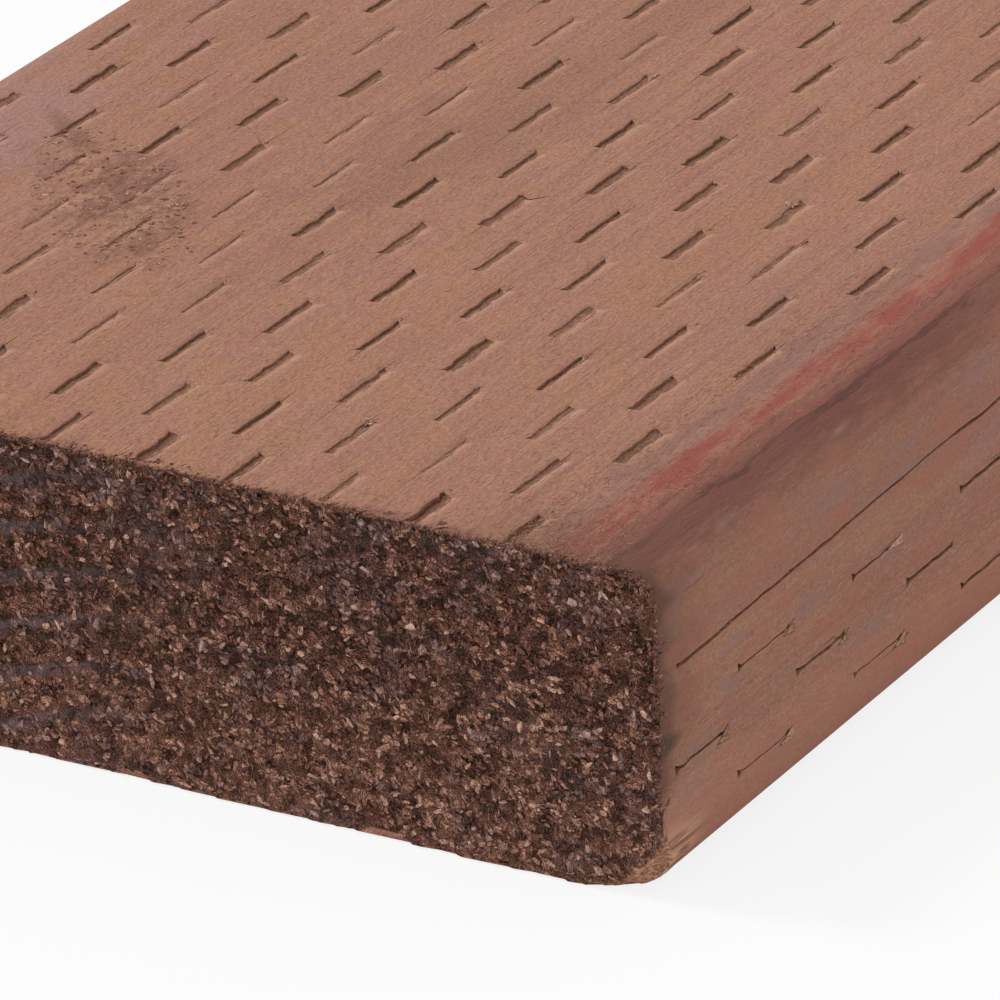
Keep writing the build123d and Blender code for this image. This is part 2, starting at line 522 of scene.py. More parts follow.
board = dict(
    edgeRound=6.0, roundSteps=8,
    skin=0.12,  # the faces lie this far inside the solid, so that raised fibres stay within it
    rimDepth=0.4, rimStep=0.5, capInset=0.9, nearStep=0.55, farStep=1.0,
    endRecess=1.0, endRelief=1.3,
)
slits = dict(
    halfPitch=length / 200, firstCentre=4.02, rowSpacing=5.756, firstRow=6.5, rows=21,
    steer=6.0, steerRun=260.0,  # the rows settle sideways by this much over about this distance
    edgeSpacing=5.85, edgeFirst=12.1, edgeRows=4, edgeLead=5.31, edgeGain=0.54, edgeFade=24.0,
    fineCells=15, fineStations=12,
)
halfWide = width / 2 - board["skin"]
topHeight = thickness - board["skin"]
edgeRound = board["edgeRound"]
flatWide = 2 * halfWide
quarter = edgeRound * math.pi / 2

# The four long faces in walking order: first corner, direction of walk and outward direction, in Y and Z.
faces = [
    dict(name="upper", corner=(halfWide, topHeight), run=(-1, 0), out=(0, 1), extent=flatWide, wide=True),
    dict(name="right", corner=(-halfWide, topHeight), run=(0, -1), out=(-1, 0), extent=topHeight, wide=False),
    dict(name="under", corner=(-halfWide, 0.0), run=(1, 0), out=(0, -1), extent=flatWide, wide=True),
    dict(name="left", corner=(halfWide, 0.0), run=(0, 1), out=(1, 0), extent=topHeight, wide=False),
]


# Place on a long face: distance along, distance across from the face's first corner, depth under its skin.
def onFace(face, along, across, depth):
    y = face["corner"][0] + across * face["run"][0] - depth * face["out"][0]
    z = face["corner"][1] + across * face["run"][1] - depth * face["out"][1]
    return np.stack([along + 0 * y, y, z], axis=-1)


# Section outline: a rounded rectangle walked from the middle of the top towards -Y, by share of its length.
def sectionOutline(share, inset=0.0, power=1.0):
    radius = edgeRound - inset
    wide, low, high = halfWide - inset, inset, topHeight - inset
    turn = np.linspace(0, math.pi / 2, 24)
    ys, zs = [np.array([0.0])], [np.array([high])]
    for face, after in zip(faces, faces[1:] + faces[:1]):
        cornerY = math.copysign(wide - radius, face["run"][0] + face["out"][0])
        cornerZ = (high - radius) if face["run"][1] + face["out"][1] > 0 else low + radius
        bend = power if face["name"] == "upper" else 1.0
        first, second = np.cos(turn).clip(0) ** bend, np.sin(turn) ** bend
        ys.append(cornerY + radius * (face["out"][0] * first + after["out"][0] * second))
        zs.append(cornerZ + radius * (face["out"][1] * first + after["out"][1] * second))
    ys, zs = np.concatenate(ys + [ys[0]]), np.concatenate(zs + [zs[0]])
    walked = np.concatenate([[0.0], np.cumsum(np.hypot(np.diff(ys), np.diff(zs)))])
    return np.interp(share * walked[-1], walked, ys), np.interp(share * walked[-1], walked, zs)


# Worn corner: the lower right corner of the near end is rounded more than the arris behind it, so that the
# surface slopes back from a larger round to the section's own.
wornCorner = dict(round=11.0, start=10.9, span=1.6, depth=2.5)


def cornerLoss(y, z):
    c = wornCorner
    inY, inZ = np.clip(c["round"] - (y + halfWide), 0, None), np.clip(c["round"] - z, 0, None)
    reach = np.hypot(inY, inZ) + 0.9 * (layeredNoise(y / 1.1 + 9, z / 1.1 + 4, 5) - 0.5)
    return np.clip((reach - c["start"]) / c["span"], 0, 1) * (inY > 0) * (inZ > 0)


# Crowded corner: torn fibre fills out the upper right corner of the near end. A rounded corner is drawn with
# a power of its cosine and sine: 1 is a circle, and less is squarer. It falls back to 1 along the board.
crowdedCorner = dict(power=0.66, run=10.0)


def cornerPower(along):
    return 1 - (1 - crowdedCorner["power"]) * np.exp(-(along / crowdedCorner["run"]) ** 2)


# Sideways drift of the slit rows: a quick steer near the end that levels off.
def rowDrift(along):
    return slits["steer"] * (1 - np.exp(-along / slits["steerRun"]))


cellCount = int((length - board["rimDepth"] - slits["firstCentre"]) / slits["halfPitch"] + 0.5)
stations = slits["firstCentre"] + (np.arange(cellCount + 1) - 0.5) * slits["halfPitch"]
stations[0] = board["rimDepth"]
stations[-1] = length - board["rimDepth"]


# The narrow edges were cut by other rollers, so there the stations slide along the board near its end.
def edgeSlide(step):
    return (slits["edgeLead"] + slits["edgeGain"] * step) * np.exp(-(step / slits["edgeFade"]) ** 2)


# Stations along a face: the rollers' own, less the two at the ends, slide on a narrow edge.
def faceStations(face):
    moved = stations.copy()
    if not face["wide"]:
        moved[1:-1] += edgeSlide(np.arange(1, cellCount))
    return moved


# Lines across a face at every station: where its two rounds end, and the borders of the slit rows.
def faceLines(face):
    if face["wide"]:
        first, spacing, rows = slits["firstRow"], slits["rowSpacing"], slits["rows"]
        drift = rowDrift(stations)
    else:
        first, spacing, rows = slits["edgeFirst"], slits["edgeSpacing"], slits["edgeRows"]
        drift = 0 * stations
    borders = first + (np.arange(rows + 1) - 0.5) * spacing
    borders = borders[None, :] + drift[:, None]
    low, high = edgeRound, face["extent"] - edgeRound
    borders = np.clip(borders, low + 0.1, high - 0.1)
    outer = np.ones((len(stations), 1))
    return np.concatenate([low * outer, borders, high * outer], axis=1)


# Side lattice: every station's walk round the section, with the walked distance for the map.
lattice, walked = [], []
walkStart = 0.0
for index, face in enumerate(faces):
    lines = faceLines(face)
    face["lines"] = lines
    face["column"] = sum(part.shape[1] for part in lattice)
    face["walk"] = walkStart
    face["stations"] = faceStations(face)
    lattice.append(onFace(face, face["stations"][:, None], lines, 0.0))
    walked.append(walkStart + lines - edgeRound)
    after = faces[(index + 1) % 4]
    steps = np.arange(1, board["roundSteps"])
    turn = steps * (math.pi / 2) / board["roundSteps"]
    walkStart += face["extent"] - 2 * edgeRound
    centreY = face["corner"][0] + (face["extent"] - edgeRound) * face["run"][0] - edgeRound * face["out"][0]
    centreZ = face["corner"][1] + (face["extent"] - edgeRound) * face["run"][1] - edgeRound * face["out"][1]
    blend = steps / board["roundSteps"]
    arcAlong = face["stations"][:, None] * (1 - blend) + faceStations(after)[:, None] * blend
    bend = cornerPower(arcAlong) if face["name"] == "upper" else 1.0
    first, second = np.cos(turn) ** bend, np.sin(turn) ** bend
    arcY = centreY + edgeRound * (face["out"][0] * first + after["out"][0] * second)
    arcZ = centreZ + edgeRound * (face["out"][1] * first + after["out"][1] * second)
    lattice.append(np.stack([arcAlong, arcY + 0 * arcAlong, arcZ + 0 * arcAlong], axis=-1))
    walked.append(walkStart + quarter * steps / board["roundSteps"] + 0 * stations[:, None])
    walkStart += quarter
lattice = np.concatenate(lattice, axis=1)
walked = np.concatenate(walked + [np.full((len(stations), 1), walkStart)], axis=1)
walkLength = walkStart
columns = lattice.shape[1]
# The first station wavers along the rim and follows the worn corner.
lattice[0, :, 0] += 0.5 * smoothNoise(np.arange(columns) * 0.9, 0.0 * np.arange(columns), 12)
lattice[0, :, 0] += wornCorner["depth"] * cornerLoss(lattice[0, :, 1], lattice[0, :, 2])
latticeIndex = np.arange(len(stations) * columns).reshape(len(stations), columns)
latticeIndex = np.concatenate([latticeIndex, latticeIndex[:, :1]], axis=1)  # the walk closes on itself
print("side lattice", lattice.shape[:2])

rng = np.random.default_rng(2167)

# The mesh is gathered as blocks of points and triangles.
blockPoints, blockMark, blockHollow, blockLip, blockAlong, blockWalk = [], [], [], [], [], []
blockTriangles, blockZone, blockSmooth = [], [], []
pointCount = 0


# Points with their values: gloom of a slit, which paints shade in it, places for the map, hollow of an end,
# which paints shade in its hollows, and lip of a slit, which paints a highlight and shade on its edges and
# marks bare wood at the worn corner.
def addPoints(points, mark, along, walk, hollow=0.0, lip=0.0):
    global pointCount
    start = pointCount
    blockPoints.append(points.reshape(-1, 3))
    blockMark.append(np.broadcast_to(mark, points.shape[:-1]).ravel())
    blockHollow.append(np.broadcast_to(hollow, points.shape[:-1]).ravel())
    blockLip.append(np.broadcast_to(lip, points.shape[:-1]).ravel())
    blockAlong.append(np.broadcast_to(along, points.shape[:-1]).ravel())
    blockWalk.append(np.broadcast_to(walk, points.shape[:-1]).ravel())
    pointCount += len(blockPoints[-1])
    return start + np.arange(len(blockPoints[-1])).reshape(points.shape[:-1])


# Triangles by corner number, with the zone of the map that they lie in.
def addTriangles(triangles, zone, smooth):
    flat = triangles.reshape(-1, 3)
    blockTriangles.append(flat)
    blockZone.append(np.broadcast_to(zone, triangles.shape[:-1]).ravel())
    blockSmooth.append(np.full(len(flat), smooth))


nearSide, farSide, nearCap, farCap = range(4)
addPoints(lattice, 0.0, lattice[..., 0], walked[:, :-1])

# Slits of the wide faces are pressed and those of the narrow edges knifed. A check runs along the right edge.
pressed = dict(length=(8.9, 10.1), halfWidth=(0.42, 0.80), nearNick=(0.0, 0.25), farNick=(0.0, 0.12),
               depth=(0.16, 0.38), oblique=(0.5, 1.6), gloom=(0.12, 0.48))
knifed = dict(length=(10.9, 11.9), halfWidth=(0.08, 0.26), nearNick=(0.3, 0.55), farNick=(0.1, 0.5),
              depth=(0.4, 0.8), oblique=(0.0, 0.4), gloom=(0.55, 0.95))
dryingCheck = dict(
    row=0, lastCell=36, start=4.3, climb=0.02, climbEnd=80.0, halfWidth=(0.12, 0.24), depth=(0.7, 1.1),
)


# Slit layout for a face: every second lattice cell holds a slit, with its own size, drawn between limits.
def slitLayout(face):
    style = pressed if face["wide"] else knifed
    rows = slits["rows"] if face["wide"] else slits["edgeRows"]
    first = slits["firstRow"] if face["wide"] else slits["edgeFirst"]
    spacing = slits["rowSpacing"] if face["wide"] else slits["edgeSpacing"]
    cell, row = np.meshgrid(np.arange(cellCount), np.arange(rows), indexing="ij")
    cell, row = cell.ravel(), row.ravel()
    centre = slits["firstCentre"] + cell * slits["halfPitch"]
    across = first + row * spacing
    if face["wide"]:
        across = across + rowDrift(centre)
    else:
        centre = centre + edgeSlide(cell + 0.5)
    cracked = np.zeros(len(cell), bool)
    if face["name"] == "right":
        cracked = (row == dryingCheck["row"]) & (cell <= dryingCheck["lastCell"])
    keep = ((cell + row) % 2 == 0) | cracked
    keep &= (across > edgeRound + 1.2) & (across < face["extent"] - edgeRound - 1.0)
    cell, row, centre, across, cracked = cell[keep], row[keep], centre[keep], across[keep], cracked[keep]
    count = len(cell)
    sizes = ("length", "halfWidth", "nearNick", "farNick", "depth", "oblique", "gloom")
    size = {key: rng.uniform(*style[key], count) for key in sizes}
    across = across + rng.normal(0, 0.16, count) * ~cracked
    across = across - dryingCheck["climb"] * np.minimum(centre, dryingCheck["climbEnd"]) * cracked
    centre = centre + rng.normal(0, 0.25, count)
    column = face["column"] + row + 1
    low = np.maximum(lattice[cell, column, 0], lattice[cell, column + 1, 0])
    high = np.minimum(lattice[cell + 1, column, 0], lattice[cell + 1, column + 1, 0])
    start = np.maximum(centre - size["length"] / 2, low + 0.04)
    end = np.minimum(centre + size["length"] / 2, high - 0.08)
    # The drying check runs on from cell to cell, through the slits of its row.
    start = np.where(cracked, np.maximum(low + 0.01, dryingCheck["start"]), start)
    end = np.where(cracked, high - 0.01, end)
    size["halfWidth"] = np.where(cracked, rng.uniform(*dryingCheck["halfWidth"], count), size["halfWidth"])
    size["depth"] = np.where(cracked, rng.uniform(*dryingCheck["depth"], count), size["depth"])
    # Slits that the saw cut through gape at the end.
    size["depth"] = np.where(cell == 0, 1.5 * size["depth"], size["depth"])
    size["halfWidth"] = np.where(cell == 0, 1.2 * size["halfWidth"], size["halfWidth"])
    size["gloom"] = np.where(cell == 0, np.maximum(size["gloom"], 0.5), size["gloom"])
    for key in ("nearNick", "farNick", "oblique"):
        size[key] = np.where(cracked, 0.25 * size[key] * ((cell + row) % 2 == 0), size[key])
    return dict(cell=cell, row=row, start=start, end=end, across=across, cracked=cracked, **size)


# Slit pockets: left and right edges at each station along the slit, and a floor between them that is
# deepest under the left edge. The right edge stops short, so that the far end lies oblique.
# The cell's four corners join the outline in a flat ring, so that the skin stays closed.
def addPockets(face, layout, pick, count):
    cell, row = layout["cell"][pick], layout["row"][pick]
    number = len(cell)
    fine = count > 3
    share = 0.5 - 0.5 * np.cos(np.linspace(0, math.pi, count)) if fine else np.linspace(0, 1, count)
    keys = ("start", "end", "across", "halfWidth", "nearNick", "farNick", "depth", "oblique", "gloom",
            "cracked")
    get = {key: layout[key][pick][:, None] for key in keys}
    start, end, half = get["start"], get["end"], get["halfWidth"]
    ragged = (0.12 if fine else 0.0) * rng.normal(0, 1, (2, number, count)) * half
    nearNick = get["nearNick"] * np.exp(-(share / 0.045) ** 2) * fine
    farNick = get["farNick"] * np.exp(-((1 - share) / 0.055) ** 2) * fine
    left = half + nearNick + farNick + ragged[0]
    right = half + (0.3 if face["wide"] else 1.0) * nearNick + 0.5 * farNick + ragged[1]
    along = start + (end - start) * share
    alongRight = start + (end - start - get["oblique"]) * share + 0.12 * (1 - share) * ~get["cracked"]
    bend = rng.normal(0, 0.06, (number, count)) * fine
    bend = np.where(get["cracked"], np.cumsum(bend, axis=1) * np.sin(math.pi * share), bend)
    climb = dryingCheck["climb"] * (along - (start + end) / 2) * (along < dryingCheck["climbEnd"])
    middle = get["across"] + bend - climb * get["cracked"]
    low = face["lines"][cell, row + 1][:, None] + 0.06
    high = face["lines"][cell, row + 2][:, None] - 0.06
    leftLine = np.clip(middle - left, low, high)
    rightLine = np.clip(middle + right, low, high)
    span = rightLine - leftLine
    deep = get["depth"] * (0.85 + 0.15 * np.sin(math.pi * share))
    floorLeft = leftLine + np.minimum(0.1, 0.2 * span)
    floorRight = rightLine - span * rng.uniform(0.2, 0.5, (number, 1))
    floorAlong = np.clip(along, start + 0.06, end - 0.1)
    floorAlongRight = np.clip(alongRight, start + 0.08, None) - 0.05 * share
    floorAlongRight = np.maximum(floorAlongRight, start + 0.02)
    walk = face["walk"] - edgeRound
    # Lip values paint a highlight along the right outline and shade along the left one.
    lip = np.where(get["cracked"], 0.0, (1.0 if face["wide"] else 0.7) * (0.75 + 0.25 * share))
    outlineLeft = addPoints(onFace(face, along, leftLine, 0.0), 0.0, along, walk + leftLine, 0.0, -lip)
    outlineRight = addPoints(onFace(face, alongRight, rightLine, 0.0), 0.0, alongRight, walk + rightLine,
                             0.0, lip)
    # The crease under the left wall takes the most painted shade.
    crease = 0.5 + 0.6 * get["gloom"] + 0 * share
    bottomLeft = addPoints(onFace(face, floorAlong, floorLeft, deep), crease, floorAlong, walk + floorLeft)
    bottomRight = addPoints(onFace(face, floorAlongRight, floorRight, deep * 0.9), get["gloom"] + 0 * share,
                            floorAlongRight, walk + floorRight)
    column = face["column"] + row + 1
    c0, c1 = latticeIndex[cell, column], latticeIndex[cell, column + 1]
    c2, c3 = latticeIndex[cell + 1, column + 1], latticeIndex[cell + 1, column]
    zone = np.where(cell < slits["fineCells"], nearSide, farSide)
    split = count // 2

    def tri(a, b, c):
        addTriangles(np.stack([a, b, c], axis=-1), zone, False)

    def quad(a, b, c, d):
        tri(a, b, c)
        tri(a, c, d)

    lefts, rights, floorLefts, floorRights = outlineLeft.T, outlineRight.T, bottomLeft.T, bottomRight.T
    quad(c0, c1, rights[0], lefts[0])
    quad(c2, c3, lefts[-1], rights[-1])
    tri(c1, c2, rights[split])
    tri(c3, c0, lefts[split])
    for i in range(count - 1):
        tri(c1 if i < split else c2, rights[i + 1], rights[i])
        tri(c0 if i < split else c3, lefts[i], lefts[i + 1])
        quad(rights[i], rights[i + 1], floorRights[i + 1], floorRights[i])
        quad(floorLefts[i], floorRights[i], floorRights[i + 1], floorLefts[i + 1])
        quad(lefts[i], floorLefts[i], floorLefts[i + 1], lefts[i + 1])
    quad(lefts[0], rights[0], floorRights[0], floorLefts[0])
    quad(floorLefts[-1], floorRights[-1], rights[-1], lefts[-1])


# Slits in rough or hard wood were pressed less deep.
def fadeSlits(face, layout):
    middle = (layout["start"] + layout["end"]) / 2
    shallow = rng.random(len(middle)) < 0.06
    if face["name"] == "upper":
        shallow |= np.isin(layout["row"], (7, 8)) & (middle > 26) & (middle < 104)
        p = tornPatch
        forth, sideways = middle - p["along"], layout["across"] - p["across"]
        shallow |= np.hypot((forth * math.cos(p["turn"]) + sideways * math.sin(p["turn"])) / p["long"],
                            (sideways * math.cos(p["turn"]) - forth * math.sin(p["turn"])) / p["short"]) < 0.8
    shallow &= ~layout["cracked"]
    for key, factor in (("halfWidth", 0.5), ("depth", 0.4), ("gloom", 0.6)):
        layout[key] = np.where(shallow, layout[key] * factor, layout[key])


pocketed = np.zeros((cellCount, columns), bool)
for face in faces:
    layout = slitLayout(face)
    fadeSlits(face, layout)
    face["layout"] = layout
    pocketed[layout["cell"], face["column"] + layout["row"] + 1] = True
    fine = (layout["cell"] < slits["fineCells"]) & (face["name"] in ("upper", "right"))
    addPockets(face, layout, fine, slits["fineStations"])
    addPockets(face, layout, ~fine, 3 if face["name"] == "upper" else 2)
    print(face["name"], "face", len(layout["cell"]), "slits")

# Plain cells, and the rounds of the long edges, are quads of the lattice split in two.
k, m = np.nonzero(~pocketed)
c0, c1 = latticeIndex[k, m], latticeIndex[k, m + 1]
c2, c3 = latticeIndex[k + 1, m + 1], latticeIndex[k + 1, m]
onFlat = np.zeros(columns, bool)
for face in faces:
    onFlat[face["column"]:face["column"] + face["lines"].shape[1] - 1] = True
for flat in (True, False):
    pick = onFlat[m] == flat
    zone = np.where(k[pick] < slits["fineCells"], nearSide, farSide)
    addTriangles(np.stack([c0, c1, c2], axis=-1)[pick], zone, not flat)
    addTriangles(np.stack([c0, c2, c3], axis=-1)[pick], zone, not flat)


# Zip two closed loops into a strip: walk both by share of their length, and make a triangle at each step.
def zipLoops(first, firstShare, second, secondShare, zone):
    n, q = len(first), len(second)
    order = np.argsort(np.concatenate([firstShare, secondShare]), kind="stable")
    isFirst = order < n
    i = np.cumsum(isFirst) - 1
    j = np.cumsum(~isFirst) - 1
    before = first[np.where(isFirst, i - 1, i) % n]
    beside = second[np.where(isFirst, j, j - 1) % q]
    ahead = np.where(isFirst, first[i % n], second[j % q])
    addTriangles(np.stack([before, ahead, beside], axis=-1), zone, True)


# Share of the way round for a loop of points, counted from the middle of the top.
def loopShares(y, z):
    steps = np.hypot(np.diff(np.append(y, y[0])), np.diff(np.append(z, z[0])))
    total = np.concatenate([[0.0], np.cumsum(steps)])
    top = np.argmin(np.abs(y) + 10 * np.abs(z - z.max()))
    return ((total[:-1] - total[top] - y[top]) / total[-1]) % 1.0


# Keep points of an end inside the rounded section, less a margin.
def keepInSection(y, z, margin, near=False):
    middle = topHeight / 2
    pastY = np.clip(np.abs(y) - (halfWide - edgeRound), 0, None)
    pastZ = np.clip(np.abs(z - middle) - (middle - edgeRound), 0, None)
    power = np.where(near & (y < 0) & (z > middle), 2 / crowdedCorner["power"], 2.0)
    reach = np.maximum((pastY ** power + pastZ ** power) ** (1 / power), 1e-6)
    back = 1 - np.minimum(1.0, (edgeRound - margin) / reach)
    return y - np.sign(y) * pastY * back, z - np.sign(z - middle) * pastZ * back


# Hollow of an end: the share of the way down between lumps of torn fibre, from noise pushed towards high and
# low.
def endHollow(y, z, near):
    seed = 31 if near else 77
    lumps = layeredNoise((y + 0.6 * z) / 1.5 + 40, (z - 0.3 * y) / 1.2 + 57, seed, 2)
    lumps = np.clip((lumps - 0.3) / 0.4, 0, 1)
    return 1 - lumps * lumps * (3 - 2 * lumps)


# Depth of an end: a recess with a relief that is half hollows, half finer stubs and half a broad swell.
def endDepth(y, z, near):
    stubs = layeredNoise(y / 0.6 + 11, z / 0.6 + 63, 38 if near else 84, 2)
    broad = layeredNoise(y / 6.0 + 5, z / 6.0 + 21, 44)
    relief = 0.5 * (endHollow(y, z, near) - 0.5) + 0.5 * (stubs - 0.5) + 0.5 * (broad - 0.5)
    depth = board["endRecess"] + board["endRelief"] * relief
    return np.clip(depth, 0.15, None) + wornCorner["depth"] * cornerLoss(y, z) * near


# Smeared late wood: level bands on the left part of the near end, where the saw rubbed the fibres flat.
def smearedBand(y, z):
    age = (np.hypot(y - rings["pithAcross"], z - rings["pithHeight"]) - rings["start"]) / rings["spacing"]
    away = np.abs(age - np.round(age) + 0.05)
    return np.exp(-(away / 0.12) ** 2) * np.clip((y + 12) / 24, 0, 1)


# Chips broken out of the lower rim of the near end: distance across, half width, height and depth.
rimChips = [(-36.0, 2.4, 1.3, 1.4), (-4.0, 1.6, 0.8, 0.9), (22.0, 3.0, 0.9, 1.1), (48.0, 2.0, 1.1, 1.0)]


# An end: a ragged rim loop on the section outline, then columns of points that fill the outline, set back
# by the relief.
def addEnd(near):
    seed = 31 if near else 77
    capZone, sideZone = (nearCap, nearSide) if near else (farCap, farSide)
    station = 0 if near else cellCount
    place = (lambda depth: depth) if near else (lambda depth: length - depth)
    count = int(walkLength / board["rimStep"])
    share = np.arange(count) / count
    power = crowdedCorner["power"] if near else 1.0
    rimY, rimZ = sectionOutline(share, 0.0, power)
    innerY, innerZ = sectionOutline(share, 1.0, power)
    ragged = layeredNoise(share * count / 3.0, 0 * share, seed + 20)
    tooth = layeredNoise(share * count / 1.3, 0 * share + 5, seed + 21, 2)
    back = 0.05 + 0.5 * ragged + 0.3 * tooth
    sink = 0.02 + 0.5 * tooth * ragged
    cut = 0 * share
    if near:
        upper = faces[0]["layout"]
        gap = (halfWide - rimY)[:, None] - upper["across"][upper["cell"] == 0][None, :]
        cut = np.exp(-(gap / 0.55) ** 2).sum(1) * (rimZ > topHeight - 0.5)
        rows = slits["edgeFirst"] + slits["edgeSpacing"] * np.array([1, 3])
        gap = (topHeight - rimZ)[:, None] - rows[None, :]
        cut = cut + np.exp(-(gap / 0.5) ** 2).sum(1) * (rimY < 0.5 - halfWide)
        back, sink = back + 0.3 * cut, sink + 0.5 * cut
        for across, half, height, depth in rimChips:
            chip = np.exp(-((rimY - across) / half) ** 4) * (rimZ < 3)
            back, sink = back + depth * chip * 0.5, sink + height * chip * (0.6 + 0.6 * tooth)
        back = back + wornCorner["depth"] * cornerLoss(rimY, rimZ)
    line = lattice[station]
    lineShare = loopShares(line[:, 1], line[:, 2])
    roll = np.argsort(lineShare)
    lineIndex, lineShare = latticeIndex[station, :-1][roll], lineShare[roll]
    lineDepth = np.interp(share, lineShare, np.abs(line[roll, 0] - place(0.0)), period=1.0)
    back, sink = np.minimum(back, lineDepth - 0.08), np.minimum(sink, 0.85 * board["capInset"])
    rimY, rimZ = rimY + (innerY - rimY) * sink, rimZ + (innerZ - rimZ) * sink
    # The rim takes the slits' painted shade where they cut it, and its lip value marks bare wood at the worn
    # corner.
    rim = addPoints(np.stack([place(back), rimY, rimZ], axis=-1), np.clip(0.85 * cut, 0, 0.9), place(back),
                    share * walkLength, 0.0, cornerLoss(rimY, rimZ) * near)
    if near:
        zipLoops(rim, share, lineIndex, lineShare, sideZone)
    else:
        zipLoops(lineIndex, lineShare, rim, share, sideZone)
    # Columns across the width, each from the lower to the upper outline.
    inset, radius = board["capInset"], edgeRound - board["capInset"]
    step = board["nearStep"] if near else board["farStep"]
    wide = halfWide - inset
    acrossCount, upCount = int(2 * wide / step), int(topHeight / step)
    y = np.linspace(wide, -wide, acrossCount + 1)
    past = np.clip(np.abs(y) - (wide - radius), 0, radius) / radius
    rise = radius * (1 - np.sqrt(np.maximum(1 - past ** 2, 0)))
    fall = np.where(y < 0, radius * (1 - np.maximum(1 - past ** (2 / power), 0) ** (power / 2)), rise)
    low, high = inset + rise, topHeight - inset - fall
    up = np.linspace(0, 1, upCount + 1)
    gridZ = low[:, None] + (high - low)[:, None] * up
    gridY = y[:, None] + 0 * gridZ
    depth = endDepth(gridY, gridZ, near)
    cap = addPoints(np.stack([place(depth), gridY, gridZ], axis=-1), 0.0, place(depth), 0.0,
                    endHollow(gridY, gridZ, near), cornerLoss(gridY, gridZ) * near)
    a, b, c, d = cap[:-1, :-1], cap[1:, :-1], cap[1:, 1:], cap[:-1, 1:]
    if near:
        addTriangles(np.stack([a, b, c], axis=-1), capZone, True)
        addTriangles(np.stack([a, c, d], axis=-1), capZone, True)
    else:
        addTriangles(np.stack([a, c, b], axis=-1), capZone, True)
        addTriangles(np.stack([a, d, c], axis=-1), capZone, True)
    ring = (lambda grid: np.concatenate([grid[:-1, -1], grid[-1, :0:-1], grid[:0:-1, 0], grid[0, :-1]]))
    loop, loopShare = ring(cap), loopShares(ring(gridY), ring(gridZ))
    roll = np.argsort(loopShare)
    if near:
        zipLoops(loop[roll], loopShare[roll], rim, share, capZone)
    else:
        zipLoops(rim, share, loop[roll], loopShare[roll], capZone)


addEnd(True)
addEnd(False)

boardPoints = np.concatenate(blockPoints)
boardTriangles = np.concatenate(blockTriangles)
zones = np.concatenate(blockZone)

# Map: the first stretch of the sides, the rest of the sides and the two ends each have a block of their own.
nearReach = stations[slits["fineCells"]]
cornerAlong = np.concatenate(blockAlong)[boardTriangles]
cornerWalk = np.concatenate(blockWalk)[boardTriangles]
cornerY, cornerZ = boardPoints[boardTriangles, 1], boardPoints[boardTriangles, 2]
wrapped = (cornerWalk.max(1) - cornerWalk.min(1) > walkLength / 2)[:, None] & (cornerWalk < walkLength / 2)
cornerWalk = np.where(wrapped, cornerWalk + walkLength, cornerWalk)
mapNear = np.stack([0.005 + 0.46 * cornerAlong / nearReach, 0.39 + 0.59 * cornerWalk / walkLength], axis=-1)
mapFar = np.stack([0.005 + 0.98 * (cornerAlong - nearReach) / (length - nearReach),
                   0.01 + 0.36 * cornerWalk / walkLength], axis=-1)
mapEnd = np.stack([0.53 + 0.45 * (cornerY / width + 0.5), 0.40 + 0.25 * cornerZ / thickness], axis=-1)
zoneColumn = zones[:, None, None]
cornerMap = np.where(zoneColumn == nearSide, mapNear, np.where(zoneColumn == farSide, mapFar, mapEnd))
cornerMap[..., 1] += np.where(zones == nearCap, 0.3, 0.0)[:, None]

timberValues = {"mark": np.concatenate(blockMark), "hollow": np.concatenate(blockHollow),
                "lip": np.concatenate(blockLip)}
timber = makePiece("timber", boardPoints, boardTriangles, [treatedFace, tornEnd], timberValues,
                   np.concatenate(blockSmooth), cornerMap, (zones >= nearCap).astype(int))


# Chips: each is a curled wedge with a narrow root, a wide belly and a blunt tip, knocked out of true.
chipTriangles = np.array([
    (0, 3, 4), (0, 4, 1), (3, 6, 7), (3, 7, 4),  # upper side
    (0, 2, 5), (0, 5, 3), (1, 4, 5), (1, 5, 2),  # flanks of the root half
    (3, 5, 6), (5, 7, 6), (4, 7, 5),  # underside of the tip half
    (0, 1, 2),
])
chipReach = np.array([0.0, 0.0, 0.0, 0.5, 0.5, 0.5, 1.0, 1.0])
# Spikes: each is a thin pyramid on a three-cornered root.
spikeTriangles = np.array([(0, 1, 3), (1, 2, 3), (2, 0, 3), (0, 2, 1)])
spikeReach = np.array([0.0, 0.0, 0.0, 1.0])


# Directions of length one.
def unit(vectors):
    return vectors / np.linalg.norm(vectors, axis=1, keepdims=True)


# Three directions of a chip: along its heading, sideways, and up from what it lies on.
def chipAxes(heading, up):
    along = unit(heading)
    side = unit(np.cross(along, up))
    return along, side, np.cross(side, along)


# Chip: corners at the root, at a belly half way and at the tip, raised by the curl and knocked about.
def chipPoints(root, heading, up, size):
    along, side, lift = chipAxes(heading, up)
    reach, half, thick, curl = (size[key][:, None] for key in ("length", "halfWidth", "thick", "curl"))
    belly = root + along * reach * 0.5 + lift * curl * 0.3
    tip = root + along * reach + lift * curl
    points = np.stack([
        root + side * half * 0.6, root - side * half * 0.6, root - lift * thick,
        belly + side * half, belly - side * half, belly - lift * thick,
        tip + side * half * 0.45, tip - side * half * 0.45,
    ], axis=1)
    return points + rng.normal(0, 0.25, points.shape) * half[:, None]


# Spike: three corners round the root and one at the tip.
def spikePoints(root, heading, up, size):
    along, side, lift = chipAxes(heading, up)
    half = size["halfWidth"][:, None]
    lower = root - along * 0.1
    tip = root + along * size["length"][:, None]
    return np.stack([lower + lift * half, lower + (side * 0.87 - lift * 0.5) * half,
                     lower - (side * 0.87 + lift * 0.5) * half, tip], axis=1)


